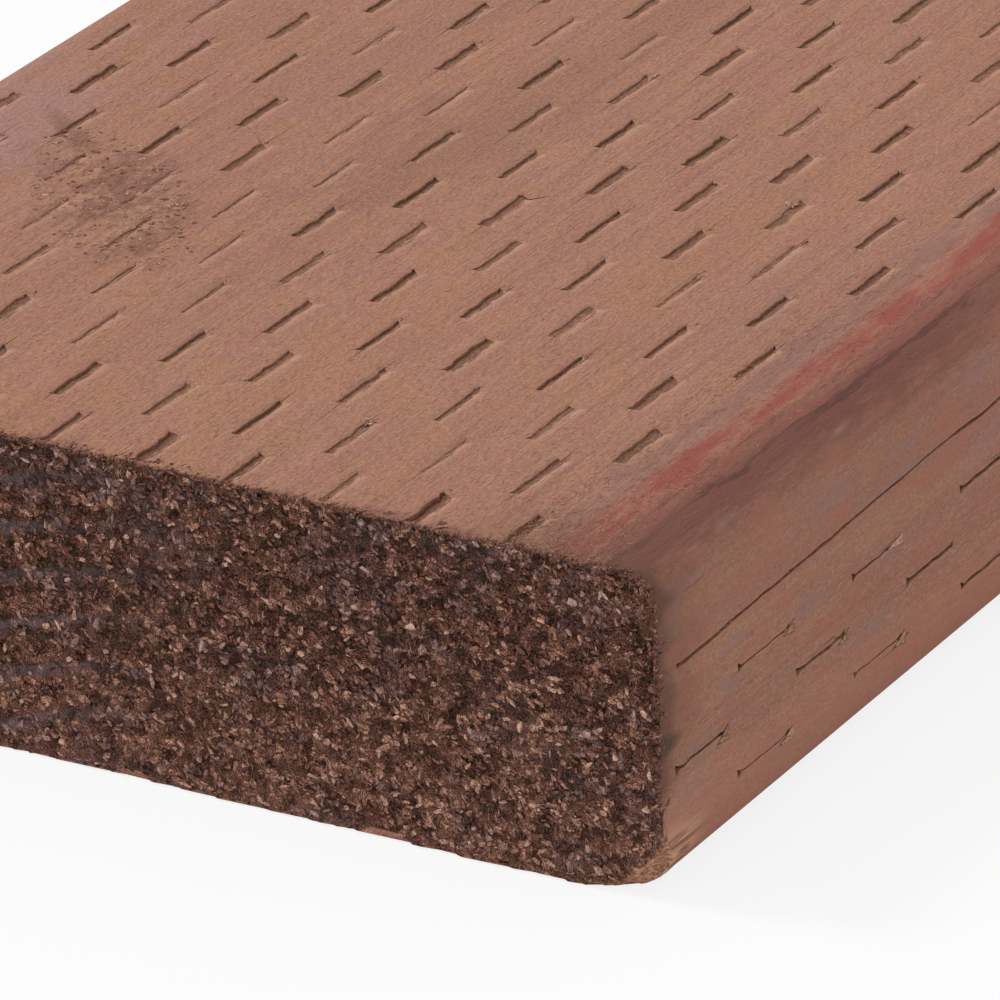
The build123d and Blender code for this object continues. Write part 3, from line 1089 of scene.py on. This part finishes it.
# A joined piece of chips or spikes. Pieces of one tint share a patch of the map.
def makeShreds(name, points, template, reach, tint, cool):
    points[..., 0] = np.clip(points[..., 0], 0.005, length - 0.005)
    points[..., 1] = np.clip(points[..., 1], -width / 2 + 0.005, width / 2 - 0.005)
    points[..., 2] = np.clip(points[..., 2], 0.0, thickness - 0.005)
    number, corners = points.shape[:2]
    triangles = (np.arange(number) * corners)[:, None, None] + template[None]
    values = {"tint": np.repeat(tint, corners), "reach": np.tile(reach, number),
              "cool": np.repeat(cool, corners)}
    column = np.floor(values["tint"] * 31.99) / 32
    spread = (np.arange(corners) + 1) / (corners + 1)
    spot = np.stack([column + (0.1 + 0.8 * np.tile(spread, number)) / 32,
                     0.04 + 0.42 * values["reach"] + 0.5 * values["cool"]], axis=-1)
    triangles = triangles.reshape(-1, 3)
    return makePiece(name, points.reshape(-1, 3), triangles, [chipWood], values,
                     np.full(len(triangles), corners == 8), spot[triangles])


# Torn fibres of an end: bent over by the saw, mostly one way. Clumps are broad, shreds are small, and
# fuzz is hair thin.
endFibres = dict(sweep=math.radians(203), spread=0.65)
clumpSize = dict(length=(0.5, 1.0), halfWidth=(0.16, 0.34), thick=(0.12, 0.3), curl=(-0.2, 0.25))
shredSize = dict(length=(0.3, 0.85), halfWidth=(0.06, 0.14), thick=(0.05, 0.12), curl=(-0.15, 0.3))
lumpSize = dict(length=(0.28, 0.72), halfWidth=(0.16, 0.36), thick=(0.14, 0.32))
fuzzSize = dict(length=(0.3, 0.8), halfWidth=(0.03, 0.075))


# Sizes drawn evenly between their limits.
def chooseSizes(ranges, count):
    return {key: rng.uniform(*limits, count) for key, limits in ranges.items()}


slatePatch = dict(across=-30.0, height=29.0, wide=15.0, high=5.5)


# Tone by height on an end: paler towards the lower rim and just under the upper one, dark between.
def endTone(z):
    low = 0.14 * np.clip(1 - z / 22, 0, 1)
    between = 0.04 * np.exp(-((z - 28) / 5) ** 2)
    high = 0.08 * np.clip((z - 34.5) / 2, 0, 1)
    return low - between + high


# Roots spread evenly over an end at the depth of its relief, headed with the sweep of the saw and raised by
# up to so many degrees.
def scatterOnEnd(near, count, steep):
    out = -1.0 if near else 1.0
    y = rng.uniform(-halfWide, halfWide, count)
    z = rng.uniform(0.0, topHeight, count)
    y, z = keepInSection(y, z, 0.25, near)
    depth = endDepth(y, z, near)
    root = np.stack([depth if near else length - depth, y, z], axis=1)
    angle = endFibres["sweep"] + rng.normal(0, endFibres["spread"], count)
    rise = np.radians(rng.uniform(-4, steep, count))
    level = np.cos(rise)
    heading = np.stack([out * np.sin(rise), level * np.cos(angle), level * np.sin(angle)], axis=1)
    up = np.stack([np.full(count, out), rng.normal(0, 0.35, count), rng.normal(0.2, 0.35, count)], axis=1)
    # Slate stain lies in patches and along the smeared bands.
    smear = smearedBand(y, z) * near
    patch = layeredNoise(y / 6.0 + 31, z / 3.0 + 8, 90) + 0.5 * smear
    patch = patch + 0.16 * near * np.exp(-((y - slatePatch["across"]) / slatePatch["wide"]) ** 2
                                         - ((z - slatePatch["height"]) / slatePatch["high"]) ** 2)
    cool = (patch + rng.normal(0, 0.05, count) > 0.63).astype(float)
    # Light and tone at a root: painted shade in the hollows and light on the lumps, darker on smeared bands,
    # and the tone by height.
    lightAndTone = 0.5 - endHollow(y, z, near) - 0.25 * smear + endTone(z) / 0.24
    keep = (cornerLoss(y, z) * near < 0.08 + 0.1 * rng.random(count)) & (rng.random(count) > 0.55 * smear)
    # The stump of a cut slit leaves a smooth dark spot beside the right rim.
    spot = np.hypot((y + halfWide) / 2.2, (z - (topHeight - slitStump["below"] - 1.0)) / 3.2)
    keep &= (spot > 0.8 + 0.4 * rng.random(count)) | (not near)
    return tuple(part[keep] for part in (root, heading, up, cool, lightAndTone))


# Chips stay clear of the lower rim, which the saw left clean.
def keepOnEnd(points, margin, near):
    points[..., 1], points[..., 2] = keepInSection(points[..., 1], points[..., 2], margin, near)
    points[..., 2] = np.maximum(points[..., 2], 0.5)
    return points


# Tints are spread widely, paler on the lumps of the relief and darker in its hollows as painted light and
# shade.
def chooseTint(lightAndTone, middle=0.38):
    return np.clip(middle + 0.28 * lightAndTone + rng.normal(0, 0.15, len(lightAndTone)), 0, 1)


# Lumps: knobbly balls of matted fibre, each a twenty-sided ball stretched along its heading, with every
# corner pushed in or out.
golden = (1 + math.sqrt(5)) / 2
lumpCorners = np.array([(-1, golden, 0), (1, golden, 0), (-1, -golden, 0), (1, -golden, 0), (0, -1, golden),
                        (0, 1, golden), (0, -1, -golden), (0, 1, -golden), (golden, 0, -1), (golden, 0, 1),
                        (-golden, 0, -1), (-golden, 0, 1)]) / math.hypot(1, golden)
lumpTriangles = np.array([
    (0, 11, 5), (0, 5, 1), (0, 1, 7), (0, 7, 10), (0, 10, 11),  # round the first corner
    (1, 5, 9), (5, 11, 4), (11, 10, 2), (10, 7, 6), (7, 1, 8),
    (3, 9, 4), (3, 4, 2), (3, 2, 6), (3, 6, 8), (3, 8, 9),  # round the corner across from it
    (4, 9, 5), (2, 4, 11), (6, 2, 10), (8, 6, 7), (9, 8, 1),
])


# Lump: the ball's corners, pushed in or out, carried along the heading, sideways and up by the lump's size.
def lumpPoints(root, heading, up, size):
    along, side, lift = chipAxes(heading, up)
    axes = np.stack([along * size["length"][:, None], side * size["halfWidth"][:, None],
                     lift * size["thick"][:, None]], axis=1)
    push = rng.normal(1.0, 0.3, (len(root), len(lumpCorners), 1))
    return root[:, None, :] + (lumpCorners[None] * push) @ axes


# Lumps along the rim spill over the faces, further where the tear is ragged, and stand a little proud.
rimSpill = dict(least=0.1, plain=0.4, torn=1.8, proud=0.1)


def rimLumps(count):
    share = rng.random(count)
    y, z = sectionOutline(share, 0.12, crowdedCorner["power"])
    inY, inZ = sectionOutline(share, 1.0, crowdedCorner["power"])
    torn = np.clip((layeredNoise(share * walkLength / 1.5, 0 * share, 68, 2) - 0.45) / 0.3, 0, 1)
    spill = rimSpill["least"] + (rimSpill["plain"] + rimSpill["torn"] * torn) * rng.random(count)
    keep = (z > 9) & (cornerLoss(y, z) < 0.02)
    root = np.stack([spill, y, z], axis=1)
    heading = np.stack([np.ones(count), rng.normal(0, 0.6, count), 0 * y], axis=1)
    up = unit(np.stack([0 * y, y - inY, z - inZ], axis=1))
    return tuple(part[keep] for part in (root, heading, up, 0 * y, 0 * y - 0.4))


# A joined piece of lumps over an end, with some along its rim; one in seven is pale.
def addLumps(name, near, count, rimCount=0):
    spread = [scatterOnEnd(near, count, 12), rimLumps(rimCount)]
    onEnd = len(spread[0][0])
    root, heading, up, cool, lightAndTone = (np.concatenate(parts) for parts in zip(*spread))
    points = lumpPoints(root, heading, up, chooseSizes(lumpSize, len(root)))
    points = np.concatenate([keepOnEnd(points[:onEnd], 0.04, near),
                             keepOnEnd(points[onEnd:], -rimSpill["proud"], near)])
    # Lumps in the hollows of the relief are tinted darker as painted shade.
    tint = np.clip(0.40 + 0.2 * lightAndTone + rng.normal(0, 0.12, len(root)), 0.05, 0.95)
    tint = np.where(rng.random(len(root)) < 0.15 * (lightAndTone > -0.25), rng.uniform(0.62, 1.0, len(root)), tint)
    return makeShreds(name, points, lumpTriangles, 0.5 + 0.5 * lumpCorners[:, 0], tint, 0.6 * cool)


# A joined piece of broad clumps and small shreds over an end.
def addEndFibres(name, near, clumps, shreds):
    blocks, tints, cools = [], [], []
    for count, ranges, steep, middle in ((clumps, clumpSize, 24, 0.40), (shreds, shredSize, 42, 0.43)):
        root, heading, up, cool, lightAndTone = scatterOnEnd(near, count, steep)
        blocks.append(keepOnEnd(chipPoints(root, heading, up, chooseSizes(ranges, len(root))), 0.04, near))
        tints.append(chooseTint(lightAndTone, middle))
        cools.append(cool)
    points, tint, cool = (np.concatenate(parts) for parts in (blocks, tints, cools))
    return makeShreds(name, points, chipTriangles, chipReach, tint, cool)


# Tufts: a handful of spikes from nearly one root, alike in heading and tint.
def addTufts(name, near, count, each):
    root, heading, up, cool, lightAndTone = scatterOnEnd(near, count, 48)
    root, heading, up, cool, tint = (np.repeat(part, each, axis=0)
                                     for part in (root, heading, up, cool, chooseTint(lightAndTone, 0.48)))
    total = len(root)
    root = root + rng.normal(0, 1, (total, 3)) * np.array([0.08, 0.2, 0.2])
    heading = heading + rng.normal(0, 0.3, (total, 3))
    tint = np.clip(tint + rng.normal(0, 0.1, total), 0, 1)
    points = keepOnEnd(spikePoints(root, heading, up, chooseSizes(fuzzSize, total)), 0.02, near)
    return makeShreds(name, points, spikeTriangles, spikeReach, tint, cool)


nearLumps = addLumps("near_end_lumps", True, 8800, 1500)
nearFibres = addEndFibres("near_end_fibres", True, 2400, 5400)
nearTufts = addTufts("near_end_tufts", True, 5200, 7)
farLumps = addLumps("far_end_lumps", False, 3600)
farFibres = addEndFibres("far_end_fibres", False, 1600, 3200)


# Splinters: slivers lifted at the far end of some slits, raised lips along their right edges tinted pale as a
# painted highlight, and a few stray chips on the upper face.
sliverSize = dict(length=(0.6, 1.6), halfWidth=(0.08, 0.24), thick=(0.04, 0.1), curl=(0.0, 0.15))
lipSize = dict(length=(1.5, 5.0), halfWidth=(0.04, 0.09), thick=(0.03, 0.06), curl=(-0.02, 0.03))
crumbSize = dict(length=(0.4, 1.0), halfWidth=(0.2, 0.42), thick=(0.1, 0.25), curl=(-0.05, 0.03))
strayChips = [(20.4, 93.0), (92.0, 105.0), (61.5, 42.6)]  # along, and across from the left edge


# Wedges: flat spikes that are broad at the root and run to a point.
def wedgePoints(root, heading, up, size):
    along, side, lift = chipAxes(heading, up)
    half, thick = size["halfWidth"][:, None], size["thick"][:, None]
    return np.stack([root - lift * thick, root - side * half, root + side * half,
                     root + along * size["length"][:, None]], axis=1)


# Chips lying on a face: roots by along and across, headed along the grain with some turn and tilt.
def chipsOnFace(face, along, across, sink, ranges, turnSpread):
    count = len(along)
    root = onFace(face, along, across, sink + 0 * along)
    turn = rng.normal(0, turnSpread, count)
    outward = np.array([0.0, *face["out"]])
    flat = np.stack([np.cos(turn), np.sin(turn) * face["run"][0], np.sin(turn) * face["run"][1]], axis=1)
    heading = flat + rng.uniform(0.0, 0.06, count)[:, None] * outward
    up = np.repeat(outward[None], count, axis=0) + rng.normal(0, 0.12, (count, 3))
    return chipPoints(root, heading, up, chooseSizes(ranges, count))


# A joined piece of slivers, lips and stray chips, each with its own tint.
def addSplinters(name):
    blocks, tints = [], []

    def keep(points, low, high):
        blocks.append(points)
        tints.append(rng.uniform(low, high, len(points)))

    for face in faces:
        if face["name"] == "under":
            continue
        layout = face["layout"]
        fine = layout["cell"] < slits["fineCells"]
        pick = ~layout["cracked"] & (rng.random(len(fine)) < np.where(fine, 0.6, 0.25))
        along = layout["end"][pick] + rng.uniform(-0.7, 0.2, pick.sum())
        across = layout["across"][pick] + rng.normal(0, 0.25, pick.sum())
        keep(chipsOnFace(face, along, across, 0.04, sliverSize, 0.3), 0.5, 0.95)
        if face["wide"]:
            # Lips of raised fibre along the right edges of the slits, tinted pale as a painted highlight.
            for repeat in range(3):
                pick = fine & (rng.random(len(fine)) < 0.65)
                span = layout["end"][pick] - layout["start"][pick]
                along = layout["start"][pick] + span * rng.uniform(0.05, 0.7, pick.sum())
                rightEdge = layout["across"][pick] + layout["halfWidth"][pick]
                across = rightEdge + rng.uniform(0.0, 0.1, pick.sum())
                keep(chipsOnFace(face, along, across, 0.01, lipSize, 0.02), 0.62, 0.85)
    upper = faces[0]
    for along, across in strayChips:
        jitter = rng.normal(0, 0.42, (2, 14))
        keep(chipsOnFace(upper, along + jitter[0], across + jitter[1], 0.0, crumbSize, 1.2), 0.76, 0.98)
    points, tint = np.concatenate(blocks), np.concatenate(tints)
    return makeShreds(name, points, chipTriangles, chipReach, tint, 0 * tint)


slitSplinters = addSplinters("slit_splinters")

# Crumbs of the rough patch: small flat lumps, thick on the ground towards the middle of the patch.
patchCrumb = dict(length=(0.2, 0.6), halfWidth=(0.16, 0.4), thick=(0.07, 0.13))


def addCrumbs(name, count):
    p = tornPatch
    angle, reach = rng.uniform(0, 2 * math.pi, count), rng.random(count) ** 0.7
    forth, sideways = p["long"] * reach * np.cos(angle), p["short"] * reach * np.sin(angle)
    along = p["along"] + forth * math.cos(p["turn"]) - sideways * math.sin(p["turn"])
    across = p["across"] + forth * math.sin(p["turn"]) + sideways * math.cos(p["turn"])
    root = onFace(faces[0], along, across, 0.03)
    turn = rng.normal(0, 0.9, count)
    heading = np.stack([np.cos(turn), np.sin(turn), 0 * turn], axis=1)
    up = np.array([0.0, 0.0, 1.0]) + rng.normal(0, 0.1, (count, 3))
    tint = rng.normal(np.where(rng.random(count) < 0.7, 0.62, 0.40), 0.07).clip(0.2, 0.9)
    points = lumpPoints(root, heading, up, chooseSizes(patchCrumb, count))
    return makeShreds(name, points, lumpTriangles, 0.5 + 0.5 * lumpCorners[:, 0], tint, 0 * tint)


patchCrumbs = addCrumbs("patch_crumbs", 420)

# Wedges on the narrow edges: a tan wedge lifted at the far end of most slits, with a dark one under it as its
# painted shadow, and thin dark second lines. Cracks trail from slits of the upper face, and splinters lie at
# the worn corner.
tanWedge = dict(length=(2.2, 3.4), halfWidth=(0.6, 0.95), thick=(0.04, 0.05))
flapShadowRim = dict(length=0.4, halfWidth=0.06)  # how far the dark wedge shows past the tan one
secondLine = dict(length=(4.0, 9.0), halfWidth=(0.03, 0.08), thick=(0.04, 0.05))
crackTail = dict(length=(2.0, 6.5), halfWidth=(0.05, 0.13), thick=(0.03, 0.05))  # on the upper face
cornerSplinter = dict(length=(2.0, 8.0), halfWidth=(0.05, 0.13), thick=(0.05, 0.1), count=150)


def addWedges(name):
    blocks, tints = [], []
    for face in (faces[1], faces[3]):
        layout = face["layout"]
        outward, down = np.array([0.0, *face["out"]]), np.array([0.0, *face["run"]])
        pick = (layout["cell"] < 2 * slits["fineCells"]) & ~layout["cracked"]
        pick &= rng.random(len(pick)) < 0.85
        count = pick.sum()
        up = np.repeat(outward[None], count, axis=0)
        far, across = layout["end"][pick] + rng.uniform(0.4, 1.3, count), layout["across"][pick]
        lean = rng.normal(-0.12, 0.12, count)[:, None]
        heading = np.array([-1.0, 0.0, 0.0]) - lean * down
        tan = chooseSizes(tanWedge, count)
        dark = {key: tan[key] + flapShadowRim.get(key, 0.0) for key in tan}
        # The dark wedge under each tan one is its painted shadow.
        for size, height, shift, low, high in ((dark, 0.01, -0.1, 0.2, 0.34), (tan, 0.03, 0.0, 0.64, 0.84)):
            root = onFace(face, far + shift, across - 1.6 * lean[:, 0], -height + 0 * far)
            blocks.append(wedgePoints(root, heading, up, size))
            tints.append(rng.uniform(low, high, count))
        pick &= rng.random(len(pick)) < 0.6
        count = pick.sum()
        along = layout["end"][pick] - rng.uniform(0.5, 3.0, count)
        across = layout["across"][pick] + rng.choice([-1, 1], count) * rng.uniform(0.4, 0.8, count)
        root = onFace(face, along, across, -0.01)
        heading = np.array([-1.0, 0.0, 0.0]) + rng.normal(0, 0.03, count)[:, None] * down
        up = np.repeat(outward[None], count, axis=0)
        blocks.append(wedgePoints(root, heading, up, chooseSizes(secondLine, count)))
        tints.append(rng.uniform(0.22, 0.4, count))
    layout = faces[0]["layout"]
    for place, way, share in (("start", -1.0, 0.4), ("end", 1.0, 0.25)):
        pick = (layout["cell"] > 0) & (layout["cell"] < slits["fineCells"])
        pick &= rng.random(len(pick)) < share
        count = pick.sum()
        across = layout["across"][pick] + layout["halfWidth"][pick] * rng.uniform(-0.9, 0.4, count)
        root = onFace(faces[0], layout[place][pick] - 0.3 * way, across, -0.01)
        heading = np.stack([np.full(count, way), rng.normal(0, 0.03, count), np.zeros(count)], axis=1)
        up = np.repeat(np.array([[0.0, 0.0, 1.0]]), count, axis=0)
        blocks.append(wedgePoints(root, heading, up, chooseSizes(crackTail, count)))
        tints.append(rng.uniform(0.3, 0.46, count))
    count = cornerSplinter["count"]
    turn = rng.uniform(-0.1, math.pi / 2, count)
    out = np.stack([0 * turn, -np.cos(turn), -np.sin(turn)], axis=1)
    middle = np.array([0.0, edgeRound - halfWide, edgeRound])
    along = rng.uniform(3.0, 9.0, count)
    root = middle + out * (edgeRound - 0.08) + along[:, None] * np.array([1.0, 0.0, 0.0])
    heading = np.array([-1.0, 0.0, 0.0]) + rng.normal(0, 0.015, (count, 3)) + 0.03 * out
    size = chooseSizes({key: cornerSplinter[key] for key in ("length", "halfWidth", "thick")}, count)
    room = along - 1.2 - wornCorner["depth"] * cornerLoss(root[:, 1], root[:, 2])
    size["length"] = np.minimum(size["length"], room)
    blocks.append(wedgePoints(root, heading, out, size))
    isDark = rng.random(count) < 0.3
    tints.append(np.where(isDark, rng.uniform(0.15, 0.3, count), rng.uniform(0.55, 0.85, count)))
    points, tint = np.concatenate(blocks), np.concatenate(tints)
    return makeShreds(name, points, spikeTriangles, spikeReach, tint, 0 * tint)


edgeWedges = addWedges("edge_wedges")


# Fuzz: short dark fibres over the rim of the near end, and hairs along the grain of the upper face.
rimFuzz = dict(count=2000, length=(0.2, 0.7), halfWidth=(0.03, 0.08))
faceFuzz = dict(count=9000, reach=150.0, length=(0.3, 1.1), halfWidth=(0.012, 0.03))
streakFuzz = dict(count=2400, reach=80.0, inward=(6.1, 19.0), length=(0.4, 1.3), halfWidth=(0.02, 0.045))


def addFuzz(name):
    share = rng.random(rimFuzz["count"])
    y, z = sectionOutline(share, 0.02, crowdedCorner["power"])
    inY, inZ = sectionOutline(share, 1.0, crowdedCorner["power"])
    outward = unit(np.stack([0 * y, y - inY, z - inZ], axis=1))
    around = np.cross(outward, np.array([1.0, 0.0, 0.0]))
    turn = rng.uniform(-math.pi, math.pi, len(y))
    inGrain, aside = np.cos(turn)[:, None], np.sin(turn)[:, None]
    heading = np.array([1.0, 0.0, 0.0]) * inGrain + around * aside + outward * 0.05
    root = np.stack([rng.uniform(0.2, 1.5, len(y)), y, z], axis=1)
    keep = (cornerLoss(y, z) < 0.05) & (z > 6)
    sizes = chooseSizes({key: rimFuzz[key] for key in ("length", "halfWidth")}, len(y))
    rim = keepOnEnd(spikePoints(root, heading, outward, sizes), -0.06, True)[keep]
    upper = faces[0]
    count = faceFuzz["count"]
    along = 1.0 + faceFuzz["reach"] * rng.random(count) ** 1.7
    across = rng.uniform(edgeRound, flatWide - edgeRound, count)
    root = onFace(upper, along, across, -0.01)
    turn = rng.normal(0, 0.35, count)
    heading = np.stack([np.cos(turn), np.sin(turn), rng.uniform(0.0, 0.05, count)], axis=1)
    up = np.repeat(np.array([[0.0, 0.0, 1.0]]), count, axis=0)
    sizes = chooseSizes({key: faceFuzz[key] for key in ("length", "halfWidth")}, count)
    hair = spikePoints(root, heading, up, sizes)
    tint = np.concatenate([np.clip(rng.normal(0.3, 0.2, keep.sum()), 0, 1), rng.uniform(0.45, 0.85, count)])
    # Coarser hairs stand up beside the red streak, most of them near the end.
    count = streakFuzz["count"]
    along = 1.0 + streakFuzz["reach"] * rng.random(count) ** 1.8
    root = onFace(upper, along, flatWide - rng.uniform(*streakFuzz["inward"], count), -0.01)
    turn = rng.normal(0, 0.5, count)
    heading = np.stack([np.cos(turn), np.sin(turn), rng.uniform(0.0, 0.1, count)], axis=1)
    up = np.repeat(np.array([[0.0, 0.0, 1.0]]), count, axis=0)
    sizes = chooseSizes({key: streakFuzz[key] for key in ("length", "halfWidth")}, count)
    coarse = spikePoints(root, heading, up, sizes)
    tint = np.concatenate([tint, rng.uniform(0.52, 1.0, count)])
    return makeShreds(name, np.concatenate([rim, hair, coarse]), spikeTriangles, spikeReach, tint, 0 * tint)


surfaceFuzz = addFuzz("surface_fuzz")

for piece in (timber, nearLumps, nearFibres, nearTufts, farLumps, farFibres, slitSplinters, patchCrumbs,
              edgeWedges, surfaceFuzz):
    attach(piece, "root")
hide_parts("board")
print("pieces placed")

# Pale floor, white to the camera but for a share of the board's shadow.
floor = dict(size=80.0, drop=0.0002, shade=0.16, tone=0.92)


def addFloor():
    material = bpy.data.materials.new("floorWhite")
    material.use_nodes = True
    tree = material.node_tree
    shader = tree.nodes["Principled BSDF"]
    shader.inputs["Base Color"].default_value = (floor["tone"], floor["tone"], floor["tone"], 1.0)
    shader.inputs["Roughness"].default_value = 1.0
    shader.inputs["Specular IOR Level"].default_value = 0.0
    glow = addNode(tree, "ShaderNodeEmission", {"Color": (1, 1, 1, 1), "Strength": 1.0})
    path = addNode(tree, "ShaderNodeLightPath").outputs
    seen = plus(tree, path["Is Camera Ray"], path["Is Glossy Ray"])
    seen = plus(tree, seen, path["Is Transmission Ray"], clamp=True)
    share = times(tree, seen, 1.0 - floor["shade"])
    mixed = addNode(tree, "ShaderNodeMixShader", {0: share, 1: shader.outputs[0], 2: glow.outputs[0]})
    tree.links.new(mixed.outputs[0], tree.nodes["Material Output"].inputs["Surface"])
    half = floor["size"] / 2
    mesh = bpy.data.meshes.new("floor")
    corners = [(-half, -half, -floor["drop"]), (half, -half, -floor["drop"]),
               (half, half, -floor["drop"]), (-half, half, -floor["drop"])]
    mesh.from_pydata(corners, [], [(0, 1, 2, 3)])
    mesh.materials.append(material)
    piece = bpy.data.objects.new("floor", mesh)
    bpy.context.scene.collection.objects.link(piece)


addFloor()

# Light: an even white surround and one broad lamp from behind on the left.
light = dict(
    ambient=0.70, sun=1.15, height=math.radians(52), bearing=math.radians(103), spread=math.radians(14),
)


def addLight():
    world = bpy.data.worlds.new("studio")
    bpy.context.scene.world = world
    world.use_nodes = True
    tree = world.node_tree
    path = addNode(tree, "ShaderNodeLightPath").outputs
    seen = plus(tree, path["Is Camera Ray"], path["Is Glossy Ray"])
    seen = plus(tree, seen, path["Is Transmission Ray"], clamp=True)
    strength = addNode(tree, "ShaderNodeMapRange", {"Value": seen, "To Min": light["ambient"], "To Max": 1.0})
    back = tree.nodes["Background"]
    back.inputs["Color"].default_value = (1, 1, 1, 1)
    tree.links.new(strength.outputs[0], back.inputs["Strength"])
    lamp = bpy.data.lights.new("window", "SUN")
    lamp.energy = light["sun"]
    lamp.angle = light["spread"]
    holder = bpy.data.objects.new("window", lamp)
    flat = math.cos(light["height"])
    bearing = light["bearing"]
    towards = Vector((flat * math.cos(bearing), flat * math.sin(bearing), math.sin(light["height"])))
    holder.rotation_euler = towards.to_track_quat("Z", "Y").to_euler()
    bpy.context.scene.collection.objects.link(holder)


addLight()

# Camera: the near right lower corner of the board shows at cornerPixel, this far from the lens.
camera = dict(lens=326.3, sensor=36.0, imageSize=1000, cornerPixel=(663.2, 906.6), cornerDistance=0.9484,
              bearing=math.radians(31.26), tilt=math.radians(24.89), roll=math.radians(2.05))


def addCamera():
    c = camera
    flat = math.cos(c["tilt"])
    forward = Vector((flat * math.cos(c["bearing"]), flat * math.sin(c["bearing"]), -math.sin(c["tilt"])))
    level = forward.cross(Vector((0, 0, 1))).normalized()
    plumb = forward.cross(level)
    right = level * math.cos(c["roll"]) + plumb * math.sin(c["roll"])
    down = plumb * math.cos(c["roll"]) - level * math.sin(c["roll"])
    focal = c["lens"] / c["sensor"] * c["imageSize"]
    middle = c["imageSize"] / 2
    offset = [(pixel - middle) / focal * c["cornerDistance"] for pixel in c["cornerPixel"]]
    place = Vector(boardLow) - right * offset[0] - down * offset[1] - forward * c["cornerDistance"]
    data = bpy.data.cameras.new("camera")
    data.lens, data.sensor_width = c["lens"], c["sensor"]
    data.clip_start, data.clip_end = 0.05, 300.0
    holder = bpy.data.objects.new("camera", data)
    turn = Matrix((right, -down, -forward)).transposed()
    holder.matrix_world = Matrix.Translation(place) @ turn.to_4x4()
    bpy.context.scene.collection.objects.link(holder)
    bpy.context.scene.camera = holder


addCamera()
bpy.context.scene.view_settings.view_transform = "Standard"
print("floor, light and camera set")
